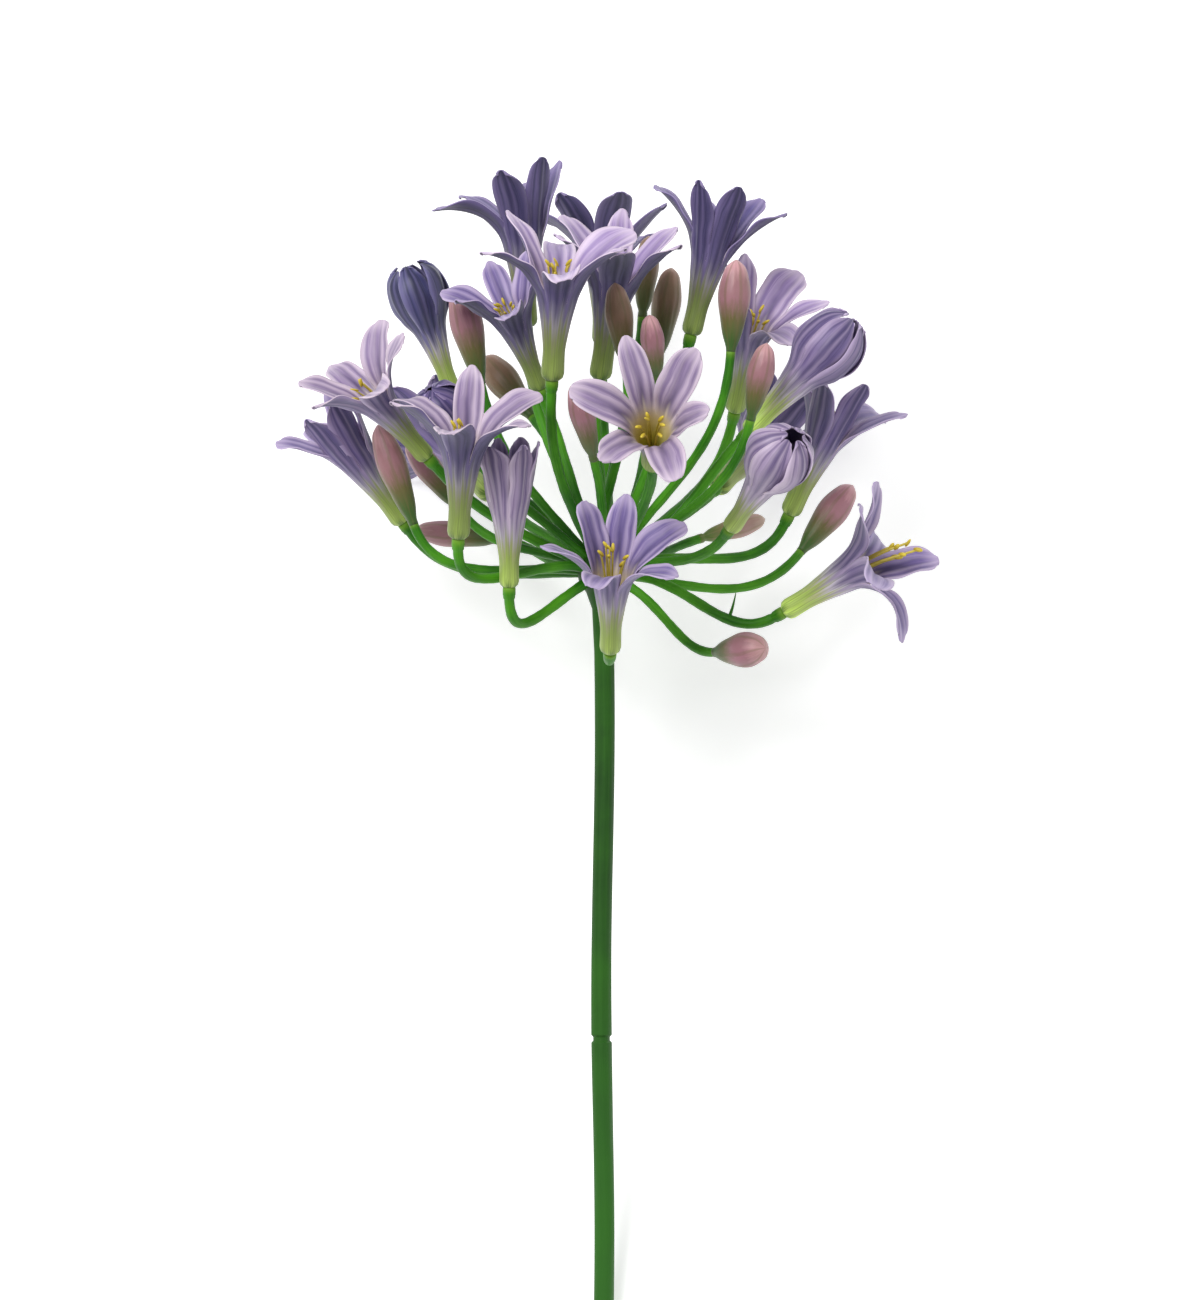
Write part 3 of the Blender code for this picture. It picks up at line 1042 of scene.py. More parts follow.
TUBE = ((0.00, (116, 158, 48)), (0.07, (186, 214, 100)), (0.22, (160, 184, 84)),
        (0.32, (164, 168, 118)), (0.41, (182, 174, 186)))
TUBE_LINES = (92, 100, 58)


@dataclass(frozen=True)
class PetalFinish:
    """Painted cloth of the petals: a violet midrib, lilac face, pale margins and a green tube.

    Attributes:
        shade: Which colours it takes.
        rim: Map coordinate where the tube ends and the petals part.
        roughness: Roughness of the cloth.
        weave: Depth of its grain.
        deep: How dark the soft bands are against the rest of the face.
    """

    shade: Shade
    rim: float = 0.47
    roughness: float = 0.52
    weave: float = 0.25
    deep: float = 0.76

    def face(self) -> Material:
        """Make the side that shows when the floret opens.

        Returns:
            The material.
        """
        colours = PETAL_COLOURS[self.shade]
        material, graph, sockets = shader(f"petal_face_{self.shade.value}", self.roughness, 0.15)
        across, along = graph.flow()
        lines = GROUPS.use(graph, "petal_lines", Across=across, Along=along)
        cloth = GROUPS.use(graph, "weave", Depth=self.weave)
        fade = graph.fall(along, self.rim + 0.08, 0.97)
        colour = graph.coats(
            linear(colours.face),
            (lines["Bands"], 0.8, tuple(int(self.deep * part) for part in colours.face)),
            # Painted highlight along the folds and painted shade in the furrows beside the midrib.
            (lines["RidgeHighlight"], 0.42, colours.margin),
            (lines["FurrowShade"], 0.62, colours.vein),
            (lines["Veins"], 0.52, colours.vein),
            # Painted shade: the face darkens towards the petal roots, deep in the cup where they leave the
            # tube.
            (graph.fall(along, self.rim - 0.05, self.rim + 0.30), 0.62, colours.midrib),
            (lines["Margin"], 0.80, colours.margin),
            (lines["Midrib"], graph.times(fade, 0.92), colours.midrib),
            (graph.step(along, 0.88, 1.0), 0.55, colours.margin),
            (GROUPS.use(graph, "mottle", Scale=70.0)["Value"], 0.10, colours.margin),
        )
        # Throat colours lightened as painted light inside the tube.
        throat = graph.ramp(along, *((at, linear(rgb)) for at, rgb in THROAT))
        edge = graph.scaled(lines["Midrib"], -0.05, along)
        colour = graph.mix(graph.step(edge, self.rim - 0.04, self.rim + 0.15), throat, colour)
        graph.put(sockets["Base Color"], colour)
        graph.put(sockets["Normal"], cloth["Normal"])
        graph.put(sockets["Roughness"], graph.scaled(cloth["Value"], 0.2, self.roughness - 0.1))
        return material

    def back(self) -> Material:
        """Make the outside, from the green foot of the tube to the petal tips.

        Returns:
            The material.
        """
        colours = PETAL_COLOURS[self.shade]
        material, graph, sockets = shader(f"petal_back_{self.shade.value}", self.roughness, 0.1)
        across, along = graph.flow()
        lines = GROUPS.use(graph, "petal_lines", Across=across, Along=along)
        cloth = GROUPS.use(graph, "weave", Depth=self.weave)
        petal = graph.coats(
            linear(colours.back),
            (lines["Veins"], 0.72, colours.back_line),
            (lines["Bands"], 0.42, colours.back_margin),
            (lines["Margin"], 0.55, colours.back_margin),
            (lines["Midrib"], 0.6, colours.back_line),
        )
        shifted = graph.scaled(lines["Bands"], 0.10, graph.math("SUBTRACT", along, 0.05))
        # Lighter and darker copies of the tube colours, partly painted light and shade.
        glowing = ((at, tuple(int(min(255.0, part * colours.glow)) for part in rgb)) for at, rgb in TUBE)
        tube = graph.ramp(shifted, *((at, linear(rgb)) for at, rgb in glowing), (0.56, linear(colours.back)))
        tube = graph.coats(tube, (graph.math("MAXIMUM", lines["Margin"], lines["Veins"]), 0.45, TUBE_LINES))
        patches = GROUPS.use(graph, "mottle", Scale=90.0)["Value"]
        blend = along
        for mask, shift in ((lines["Midrib"], 0.06), (lines["Margin"], 0.08), (patches, 0.04),
                            (lines["Veins"], 0.05)):
            blend = graph.scaled(mask, shift, blend)
        graph.put(sockets["Base Color"], graph.mix(graph.step(blend, 0.40, 0.60), tube, petal))
        graph.put(sockets["Normal"], cloth["Normal"])
        return material


@dataclass(frozen=True)
class GreenFinish:
    """Moulded green of the stem and the stalks: long fine lines over patches of two greens.

    Attributes:
        name: Name of the material.
        dark: Darker green.
        light: Lighter green.
        tip: Green of the far end.
        tip_from: Place along the piece where the far end's green begins.
        lines: Number of the fine lines.
        roughness: Roughness of the plastic.
    """

    name: str
    dark: Rgb
    light: Rgb
    tip: Rgb
    tip_from: float = 0.9
    lines: float = 30.0
    roughness: float = 0.42

    def material(self) -> Material:
        """Make the material.

        Returns:
            The material.
        """
        material, graph, sockets = shader(self.name, self.roughness)
        around, along = graph.flow()
        grain = GROUPS.use(graph, "long_grain", Across=around, Along=along, Lines=self.lines, Depth=0.45)
        patches = GROUPS.use(graph, "mottle", Scale=48.0)["Value"]
        share = graph.scaled(grain["Value"], 0.9, graph.scaled(patches, 0.6, -0.35))
        colour = graph.mix(graph.math("ADD", share, 0.0, clamp=True), linear(self.dark), linear(self.light))
        colour = graph.coats(colour, (graph.step(along, self.tip_from, 1.0), 0.8, self.tip))
        sockets["Specular IOR Level"].default_value = 0.25
        graph.put(sockets["Base Color"], colour)
        graph.put(sockets["Normal"], grain["Normal"])
        graph.put(sockets["Roughness"], graph.scaled(patches, 0.18, self.roughness - 0.06))
        return material


STALK_GREEN = GreenFinish("stalk_green", (30, 98, 10), (94, 176, 32), (122, 164, 50), tip_from=0.95)
STEM_GREEN = GreenFinish("stem_green", (22, 66, 10), (50, 108, 24), (50, 110, 32),
                         tip_from=0.25, lines=22.0, roughness=0.6)
BUD_COLOURS = {
    BudTone.PINK: ((56, 96, 30), (104, 96, 52), (166, 114, 126), (220, 166, 172)),
    BudTone.OLIVE: ((56, 88, 28), (96, 90, 44), (132, 102, 80), (172, 132, 118)),
    BudTone.PALE: ((92, 122, 46), (148, 132, 90), (188, 148, 144), (220, 188, 176)),
}


@dataclass(frozen=True)
class BudFinish:
    """Closed petals: olive foot, mauve body and a pale tip, with long streaks and dark seams."""

    tone: BudTone
    roughness: float = 0.46

    def material(self) -> Material:
        """Make the material. Its seams follow the cosine of six times the angle round the bud.

        Returns:
            The material.
        """
        foot, low, body, tip = BUD_COLOURS[self.tone]
        material, graph, sockets = shader(f"bud_{self.tone.value}", self.roughness, 0.1)
        around, along = graph.flow()
        grain = GROUPS.use(graph, "long_grain", Across=around, Along=along, Lines=26.0, Depth=0.35)
        patches = GROUPS.use(graph, "mottle", Scale=80.0)["Value"]
        shifted = graph.scaled(grain["Value"], 0.30, graph.math("SUBTRACT", along, 0.15))
        stops = ((0.10, foot), (0.36, low), (0.58, body), (0.76, body), (0.98, tip))
        colour = graph.ramp(shifted, *((at, linear(rgb)) for at, rgb in stops))
        drift = graph.scaled(patches, 0.03, around)
        wave = graph.math("COSINE", graph.times(drift, PETALS * TURN))
        seams = (graph.step(wave, 0.60, 1.0), graph.times(grain["Value"], 0.7), low)
        graph.put(sockets["Base Color"], graph.coats(colour, (patches, 0.30, low), seams))
        graph.put(sockets["Normal"], grain["Normal"])
        return material


@dataclass(frozen=True)
class StamenFinish:
    """Smooth moulded threads and their knobs: a warm yellow with a paler end."""

    name: str
    low: Rgb
    high: Rgb
    roughness: float = 0.45

    def material(self) -> Material:
        """Make the material.

        Returns:
            The material.
        """
        material, graph, sockets = shader(self.name, self.roughness)
        _, along = graph.flow()
        patches = GROUPS.use(graph, "mottle", Scale=400.0)["Value"]
        share = graph.scaled(patches, 0.35, graph.times(along, 0.7), clamp=True)
        graph.put(sockets["Base Color"], graph.mix(share, linear(self.low), linear(self.high)))
        graph.put(sockets["Normal"], GROUPS.use(graph, "weave", Depth=0.4)["Normal"])
        return material


THREAD_CREAM = StamenFinish("thread_cream", (150, 140, 40), (214, 194, 84))
KNOB_YELLOW = StamenFinish("knob_yellow", (176, 148, 30), (226, 204, 64))


# ---------------------------------------------------------------- the flower's pieces


@dataclass(frozen=True)
class ShutForm:
    """How the petals of a shut floret run.

    Attributes:
        wrap: Half angle that each petal covers, in radians.
        narrow_from: Place along a petal where it begins to narrow.
        dome: How far the knots of the petals move outwards, in millimetres.
    """

    wrap: float = 0.60
    narrow_from: float = 0.72
    dome: tuple[float, ...] = (0.0, 1.2, 2.3, 1.0, -3.2)


SHUT_FORMS = {
    10: ShutForm(dome=(0.0, 0.1, 0.2, 0.1, -0.3)),
    16: ShutForm(wrap=0.68, narrow_from=0.90, dome=(0.0, 1.2, 2.3, -0.5, -6.0)),
}


@dataclass
class FloretSkin:
    """The thin petals of one floret, joined to a tube below and free above.

    Attributes:
        plan: Where the floret and its petals are.
        form: How the petals run while the floret is shut.
        node: CAD node that the petals stand for, or nothing for the floret's own.
        columns: Points across one petal.
        tube_rows: Rings up the tube.
        petal_rows: Rows along the free part of a petal.
        thickness: Thickness of the sheet.
        rib: Share of the radius that the six ribs of the tube add.
        ruffle: Height of the waves along the margins.
        groove: Depth of the channel along the midrib.
        fold: Height of the fold on each side of it.
        furrow: Depth of the furrow outside each fold.
        curl: How far the margins bend back at the tip.
        twist: Most slope that a petal turns by.
        sway: Most that a tip moves sideways, in millimetres.
        bow: Least and greatest radius of the bow across a petal, in millimetres.
        shut_bow: What is added to both on a shut floret, in millimetres.
        relief_from: Half width from which the folds have their full height, in millimetres.
        rim_share: Map coordinate of the rim, where the petals part.
        fullness: Factor on the petals' widths.
        shut_from: Distance of the tips from the axis at which a floret counts as shut a little.
        full_at: Place along a petal where it is widest.
        ground: Least height of any point.
    """

    plan: FloretPlan
    form: ShutForm = ShutForm()
    node: str = ""
    columns: int = 13
    tube_rows: int = 14
    petal_rows: int = 26
    thickness: float = 0.38 * MM
    rib: float = 0.035
    ruffle: float = 0.42 * MM
    groove: float = 0.42 * MM
    fold: float = 0.30 * MM
    furrow: float = 0.22 * MM
    curl: float = 0.5 * MM
    twist: float = 0.30
    sway: float = 0.8
    bow: tuple[float, float] = (3.2, 9.0)
    shut_bow: tuple[float, float] = (1.6, 5.0)
    relief_from: float = 3.4
    rim_share: float = 0.47
    fullness: float = 1.08
    shut_from: float = 11.0 * MM
    full_at: float = 0.60
    ground: float = 0.4 * MM

    def __post_init__(self) -> None:
        """Note the CAD node, how far the floret is shut, and the rows, which crowd towards the tip."""
        self.node = self.node or f"floret_{self.plan.number:02d}"
        self.shut = float(ease(np.array(self.shut_from - self.plan.openness), 0.0, 3.0 * MM))
        self.steps = 1.0 - (1.0 - np.linspace(0.0, 1.0, self.petal_rows + 1)[1:]) ** 1.35

    def _tube(self, draft: Draft) -> Array:
        """Add the tube: level rings whose radius carries six ribs, a cosine of six times the angle.

        Args:
            draft: Draft that takes the rings.

        Returns:
            The numbers of the rings, with a row of the pole below.
        """
        plan = self.plan
        high = float(plan.heights[-1])
        heights = plan.heights[0] + (high - plan.heights[0]) * np.linspace(0.0, 1.0, self.tube_rows) ** 1.3
        radii = level_curve(heights, plan.heights, plan.radii)
        turn = angles(PETALS * (self.columns - 1)) - TWELFTH
        share = ease(heights / high, 0.1, 0.5) * (1.0 - ease(heights / high, 0.8, 1.0))
        ribs = 1.0 + self.rib * share[:, None] * np.cos(PETALS * turn)[None, :]
        outward = plan.outward(turn + plan.petals[0].azimuth)
        rings = (plan.base + heights[:, None, None] * plan.axis
                 + (radii[:, None] * ribs)[..., None] * outward[None])
        pole = draft.add(plan.base[None])
        index = draft.add(rings)
        return np.concatenate([np.full((1, len(turn)), pole[0]), index])

    def _strip(self, petal: PetalPlan, random: np.random.Generator) -> Array:
        """Lay out one free petal: a spline from rim to tip, bowed across as part of a circle.

        Args:
            petal: Where the petal runs.
            random: Source of its chance differences.

        Returns:
            Its points, rows by columns.
        """
        plan = self.plan
        along = self.steps[:, None]
        across = np.linspace(-1.0, 1.0, self.columns)[None, :]
        lateral = np.cross(plan.axis, plan.outward(petal.azimuth))
        spline = Spline(self._swollen(petal), start=self._flare(petal))
        where = spline.end * along * (1.0 - petal.rank.blunt * np.abs(across) ** 2.4 * along**2)
        middles = spline.points(where)
        inward = np.cross(unit(spline.slopes(where)), lateral)
        away = np.linalg.norm(square_to(middles - plan.base, plan.axis), axis=-1)
        least, most = (size + self.shut * more for size, more in zip(self.bow, self.shut_bow))
        bow = np.clip(away, least * MM * plan.scale, most * MM)
        half = self._half_width(petal, along) * random.uniform(0.95, 1.08)
        wrap = self.shut * self.form.wrap * bow * self._taper(petal, along, self.form.narrow_from)
        half = np.maximum(half, wrap)
        reach = half * across
        angle = np.clip(reach / bow, -1.35, 1.35)
        relief = np.minimum(1.0, half / (self.relief_from * MM * plan.scale))
        lift = self._lift(along, across, random) * relief
        turn = random.uniform(-self.twist, self.twist) * (1.0 - self.shut)
        tilt = (0.10 * ease(along, 0.0, 0.5) + turn * along**2) * reach
        shift = petal.rank.shift * MM * ease(along, 0.0, 0.35)
        sway = random.uniform(-self.sway, self.sway) * MM * along**2
        return (middles + lateral * (bow * np.sin(angle) + sway)[..., None]
                + inward * (bow * (1.0 - np.cos(angle)) + lift + tilt + shift)[..., None])

    def _swollen(self, petal: PetalPlan) -> Array:
        """Return the petal's knots, pushed outwards on a floret that is still shut."""
        push = self.shut * self.plan.scale * MM * np.array(self.form.dome)
        return petal.knots + push[:, None] * self.plan.outward(petal.azimuth)

    def _flare(self, petal: PetalPlan) -> Array:
        """Find the direction in which a petal leaves the rim, a little wider than the tube's own.

        Args:
            petal: Where the petal runs.

        Returns:
            The direction.
        """
        rise = self.plan.heights[-1] - self.plan.heights[-2]
        spread = self.plan.radii[-1] - self.plan.radii[-2]
        return unit(self.plan.axis * rise + self.plan.outward(petal.azimuth) * spread * 1.15)

    def _half_width(self, petal: PetalPlan, along: Array) -> Array:
        """Work out the half width: a sine from the tube's share up to the full width, then the taper.

        Args:
            petal: Where the petal runs.
            along: Places from rim to tip.

        Returns:
            The half width at each place.
        """
        start = float(self.plan.radii[-1]) * math.pi / 6.0
        full = petal.half_width * self.fullness
        swell = start + (full - start) * np.sin(0.5 * math.pi * np.clip(along / self.full_at, 0.0, 1.0))
        return swell * self._taper(petal, along, self.full_at)

    @staticmethod
    def _taper(petal: PetalPlan, along: Array, start: float) -> Array:
        """Narrow a petal: the root of one less a power of the way from the start to the tip.

        Args:
            petal: Where the petal runs.
            along: Places from rim to tip.
            start: Place where it begins to narrow.

        Returns:
            A factor on the width at each place, which ends at the width kept at the tip.
        """
        fall = np.clip((along - start) / (1.0 - start), 0.0, 1.0)
        return np.sqrt(1.0 - (1.0 - petal.rank.keep**2) * fall**2.6)

    def _lift(self, along: Array, across: Array, random: np.random.Generator) -> Array:
        """Raise the sheet: bell curves for channel, folds and furrows, and a sine along each margin.

        Args:
            along: Places from rim to tip.
            across: Places from margin to margin, from -1 to 1.
            random: Source of the number and the start of the waves.

        Returns:
            The rise at each point.
        """
        grown = ease(along, 0.0, 0.25)
        fade = 1.0 - 0.65 * along
        away = np.abs(across)
        channel = -self.groove * np.exp(-((across / 0.14) ** 2)) * fade
        folds = self.fold * np.exp(-(((away - 0.40) / 0.18) ** 2)) * fade
        folds = folds - self.furrow * np.exp(-(((away - 0.74) / 0.12) ** 2)) * fade
        waves = np.zeros_like(along * across)
        for side in (-1.0, 1.0):
            count = random.uniform(1.3, 2.4)
            phase = random.uniform(0.0, TURN)
            near = np.clip(across * side, 0.0, 1.0) ** 2.2
            waves = waves + near * np.sin(TURN * count * along + phase)
        curl = -self.curl * ease(along, 0.7, 1.0) * away**2
        return grown * (channel + folds + self.ruffle * waves + curl)

    def build(self, back: Material, face: Material) -> Piece:
        """Make the floret's petals as one sheet with a thickness.

        Args:
            back: Material of the outside.
            face: Material of the inside and the edges.

        Returns:
            The petals.
        """
        random = np.random.default_rng(40 + self.plan.number)
        draft = Draft()
        tube = self._tube(draft)
        tube = np.concatenate([tube, tube[:, :1]], axis=1)
        across = np.linspace(0.0, 1.0, self.columns)
        low = np.concatenate([[0.0], np.linspace(0.0, self.rim_share, self.tube_rows)])
        along = np.concatenate([low, self.rim_share + (1.0 - self.rim_share) * self.steps])
        for place, petal in enumerate(self.plan.petals):
            first = place * (self.columns - 1)
            foot = tube[:, first:first + self.columns]
            blade = draft.add(self._strip(petal, random))
            draft.grid(np.concatenate([foot, blade]), across, along)
        name = "petals_" + self.node.removeprefix("floret_")
        piece = draft.finish(name, [back, face], self.ground)
        sheet = piece.modifiers.new("sheet", "SOLIDIFY")
        sheet.thickness = self.thickness * self.plan.scale
        sheet.offset = -1.0
        sheet.material_offset = 1
        sheet.material_offset_rim = 1
        return dress(piece, self.node)


@dataclass
class Stamens:
    """Six threads with knobs and one pistil in the throat of an open floret.

    Attributes:
        plan: Where the floret is.
        down: Direction in which the threads sink.
        stretch: Factor on their length and thickness.
        droop: How far the end of a thread sinks.
        thread: Radius of a thread.
        knob: Greatest radius of a knob.
        knob_reach: Half length of a knob.
        heights: Heights of a thread's knots above the base, in millimetres.
        spreads: Their distances from the axis, in millimetres.
        rings: Rings of a thread.
        knob_rings: Rings of a knob.
        stray: Most that a thread strays from its petal, in radians.
        lengths: Least and greatest factor on a thread's length.
        leans: Least and greatest factor on how far it leans outwards.
        open_at: Distance of the petal tips from the axis at which threads lean fully.
        pistil: Factors on the length, the lean and the knob of the pistil.
    """

    plan: FloretPlan
    down: Array
    stretch: float = 1.0
    droop: float = 3.0 * MM
    thread: float = 0.29 * MM
    knob: float = 0.52 * MM
    knob_reach: float = 1.6 * MM
    heights: tuple[float, ...] = (13.0, 19.5, 25.0, 30.0, 34.0)
    spreads: tuple[float, ...] = (0.9, 1.5, 2.1, 2.9, 3.7)
    rings: int = 14
    knob_rings: int = 9
    stray: float = 0.45
    lengths: tuple[float, float] = (0.82, 1.14)
    leans: tuple[float, float] = (0.45, 1.2)
    open_at: float = 14.0 * MM
    pistil: tuple[float, float, float] = (1.08, 0.1, 0.7)

    def build(self, threads: Material, knobs: Material) -> Piece:
        """Make the stamens as one object.

        Args:
            threads: Material of the threads.
            knobs: Material of the knobs.

        Returns:
            The stamens.
        """
        plan = self.plan
        random = np.random.default_rng(90 + plan.number)
        draft = Draft()
        open_share = min(1.0, plan.openness / self.open_at)
        for petal in plan.petals:
            azimuth = petal.azimuth + random.uniform(-self.stray, self.stray)
            length = random.uniform(*self.lengths) * self.stretch
            lean = random.uniform(*self.leans) * (0.35 + 0.65 * open_share)
            self._thread(draft, azimuth, length, lean)
        length, lean, knob = self.pistil
        self._thread(draft, 0.0, length * self.stretch, lean, knob)
        node = f"stamens_{plan.number:02d}"
        piece = draft.finish(f"threads_{plan.number:02d}", [threads, knobs])
        return dress(piece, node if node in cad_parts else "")

    def _thread(self, draft: Draft, azimuth: float, length: float, lean: float, knob: float = 1.0) -> None:
        """Add one thread, a tube that sinks by the square of its length, and its egg-shaped knob.

        Args:
            draft: Draft that takes them.
            azimuth: Angle about the floret's axis.
            length: Factor on the thread's length.
            lean: Factor on how far it leans outwards.
            knob: Factor on the knob's radius.
        """
        plan = self.plan
        size = plan.scale
        heights = np.array(self.heights) * MM * size
        heights = heights[0] + (heights - heights[0]) * length
        spreads = np.array(self.spreads) * MM * size
        spreads = spreads[0] + (spreads - spreads[0]) * lean
        outward = plan.outward(azimuth)
        knots = plan.base + heights[:, None] * plan.axis + spreads[:, None] * outward
        sink = self.droop * np.linspace(0.0, 1.0, len(heights)) ** 2
        knots = knots + sink[:, None] * square_to(self.down, plan.axis)
        spline = Spline(knots)
        at = spline.end * np.linspace(0.0, 1.0, self.rings)
        Tube(spline, at, np.full(self.rings, self.thread * size * self.stretch), 6).lay(draft, 0)
        heading = unit(spline.slopes(np.array([spline.end]))[0])
        tip = knots[-1]
        reach = unit(heading + 0.6 * outward) * (self.knob_reach * size)
        axis = Spline(np.array([tip - reach, tip + 0.1 * MM * heading, tip + reach]))
        share = np.linspace(0.03, 0.97, self.knob_rings)
        radii = self.knob * knob * size * self.stretch * np.sqrt(1.0 - (2.0 * share - 1.0) ** 2)
        Tube(axis, axis.end * share, radii, 8).lay(draft, 1)


@dataclass
class StalkSkin:
    """A smooth round stalk with the stepped socket that holds a floret.

    Attributes:
        course: Middle line and radii from the hub outwards.
        node: CAD node that the stalk stands for.
        socket_at: Distance of each ring of the socket from the stalk's end, in millimetres.
    """

    course: Course
    node: str
    socket_at: tuple[float, ...] = (3.8, 3.2, 2.9, 2.1, 1.9, 0.3, -0.3, -0.55)

    def build(self, green: Material) -> Piece:
        """Make the stalk.

        Args:
            green: Its material.

        Returns:
            The stalk.
        """
        draft = Draft()
        spline = Spline(self.course.middles[[0, *range(1, len(self.course.middles) - 3), -1]])
        at, radii = self._profile(spline.end)
        Tube(spline, at, radii).lay(draft)
        return dress(draft.finish(self.node + "_skin", [green]), self.node)

    def _profile(self, end: float) -> tuple[Array, Array]:
        """Set the rings: rounded root, plain length and a socket in two steps.

        Args:
            end: Length of the stalk.

        Returns:
            Distances along the stalk, and radii.
        """
        body = float(np.median(self.course.radii[1:-2]))
        socket = float(self.course.radii[1:-1].max()) * 1.02
        plain, wobble = stalk_rings(end - 4.4 * MM, 0.55, 1.7)
        steps = [0.98, 1.0, 1.16, 1.18, socket / body, socket / body, 0.96 * socket / body, 0.2]
        at = np.concatenate([plain, end - np.array(self.socket_at) * MM])
        return at, body * np.concatenate([wobble, steps])


@dataclass
class BudSkin:
    """A closed bud on its stalk, with six soft seams between its petals.

    Attributes:
        number: Number of the bud.
        hub: Middle of the knob that its stalk grows from.
        sides: Points round the bud.
        rows: Rings of the bud.
        swirl: How far the seams turn from foot to tip, in radians.
    """

    number: int
    hub: Array
    sides: int = 48
    rows: int = 40
    swirl: float = 0.5

    @property
    def node(self) -> str:
        """Name of the bud's CAD node."""
        return f"bud_{self.number:02d}"

    def build(self, green: Material, skin: Material) -> Piece:
        """Make the stalk and the bud as one object.

        Args:
            green: Material of the stalk.
            skin: Material of the bud.

        Returns:
            The bud.
        """
        course, split = self.read()
        draft = Draft()
        self._stalk(draft, course, split)
        self._body(draft, course, split)
        return dress(draft.finish(self.node + "_skin", [green, skin]), self.node)

    def read(self) -> tuple[Course, int]:
        """Read the bud from its CAD node.

        Returns:
            The line from the hub to the bud's tip, and the ring where the stalk ends.
        """
        solid = Solid(self.node)
        ends = np.nonzero(self._poles(solid))[0]
        tip = ends[np.linalg.norm(solid.points[ends] - self.hub, axis=1).argmax()]
        course = Course.read(solid, int(tip))
        course.plant(self.hub)
        return course, len(course.middles) - 7

    @staticmethod
    def _poles(solid: Solid) -> Array:
        """Tell which points are ends: eight neighbours, and four rings of eight beyond.

        Args:
            solid: The bud's solid.

        Returns:
            Whether each point is an end.
        """
        found = np.zeros(len(solid.points), bool)
        for point in np.nonzero(solid.joined.sum(axis=1) == 8)[0]:
            sizes = [len(members) for members in solid.levels(int(point), count=5)]
            found[point] = sizes == [1, 8, 8, 8, 8]
        return found

    @staticmethod
    def _stalk(draft: Draft, course: Course, split: int) -> None:
        """Add the green stalk up to the bud's foot.

        Args:
            draft: Draft that takes it.
            course: Line from the hub to the bud's tip.
            split: Ring where the stalk ends.
        """
        spline = Spline(course.middles[: split + 2])
        body = float(np.median(course.radii[1:split]))
        end = float(spline.at[split]) if split < len(spline.at) else spline.end
        at, radii = stalk_rings(end, 0.6, 1.9)
        Tube(spline, at, body * radii).lay(draft, 0)

    def _body(self, draft: Draft, course: Course, split: int) -> None:
        """Add the bud: a round skin whose seams are a high power of the cosine of thrice the angle.

        Args:
            draft: Draft that takes it.
            course: Line from the hub to the bud's tip.
            split: Ring where the stalk ends.
        """
        spline = Spline(course.middles[split - 1:])
        shape = Spline(course.radii[split - 1:, None], at=spline.at)
        share = np.linspace(0.0, 1.0, self.rows)
        at = spline.at[0] + (spline.at[-1] - spline.at[0]) * share * 0.995
        radii = np.maximum(shape.points(at)[:, 0], 0.25 * MM)
        radii[:3] = np.maximum(radii[:3], 1.05 * float(np.median(course.radii[1:split])))
        angle = angles(self.sides)
        swirl = angle[None, :] + self.swirl * share[:, None]
        waist = np.sin(math.pi * np.clip(share, 0.0, 1.0)) ** 0.6
        depths = np.random.default_rng(300 + self.number).uniform(0.02, 0.07, PETALS)
        depth = np.interp(angle, np.linspace(0.0, TURN, PETALS + 1), np.resize(depths, PETALS + 1))
        seams = np.abs(np.cos(3.0 * swirl)) ** 9
        relief = 1.0 - waist[:, None] * (depth[None, :] * seams - 0.012 * np.cos(6.0 * swirl))
        Tube(spline, at, radii, self.sides, relief).lay(draft, 1)


@dataclass
class Goblet(BudSkin):
    """A bud that has begun to open, with six petals round a dark mouth.

    Attributes:
        rim: Share of the length up to where the petals part.
        shoulder: Distance of the petals from the axis near their tips, against the greatest radius.
        mouth: Radius of the mouth, against the greatest radius.
        form: How the petals run.
    """

    rim: float = 0.30
    shoulder: float = 0.66
    mouth: float = 0.20
    form: ShutForm = ShutForm(dome=(0.0, 0.1, 0.3, 0.3, -2.4))

    def stalk(self, green: Material) -> Piece:
        """Make the stalk.

        Args:
            green: Its material.

        Returns:
            The stalk.
        """
        draft = Draft()
        self._stalk(draft, *self.read())
        return dress(draft.finish(self.node + "_stalk", [green]), self.node)

    def petals(self, back: Material, face: Material) -> Piece:
        """Make the petals."""
        return FloretSkin(self._plan(), self.form, self.node).build(back, face)

    def _plan(self) -> FloretPlan:
        """Lay out a tube and six petals along the bud's own outline.

        Returns:
            The plan, with every second petal an inner one.
        """
        course, split = self.read()
        spline = Spline(course.middles[split - 1:])
        shape = Spline(course.radii[split - 1:, None], at=spline.at)
        foot = course.middles[split - 1]
        length = float(np.linalg.norm(course.middles[-1] - foot))
        axis = (course.middles[-1] - foot) / length
        side = right_of(axis)
        shares = self.rim * np.linspace(0.0, 1.0, 5)
        radii = shape.points(spline.end * shares)[:, 0]
        number = len(FLORETS) + self.number
        plan = FloretPlan(number, foot, axis, side, np.cross(axis, side), length * shares, radii)
        widest = float(course.radii[split - 1:].max())
        for place in range(PETALS):
            inner = place % 2 == 0
            shares = np.array([self.rim, 0.54, 0.72, 0.88, 1.02 if inner else 0.95])
            away = shape.points(spline.end * np.minimum(shares, 0.9))[:, 0]
            away[-2:] = widest * np.array([self.shoulder, self.mouth])
            azimuth = place * math.pi / 3.0
            knots = foot + length * shares[:, None] * axis + away[:, None] * plan.outward(azimuth)
            plan.petals.append(PetalPlan(azimuth, knots, 0.5 * widest, inner))
        return plan


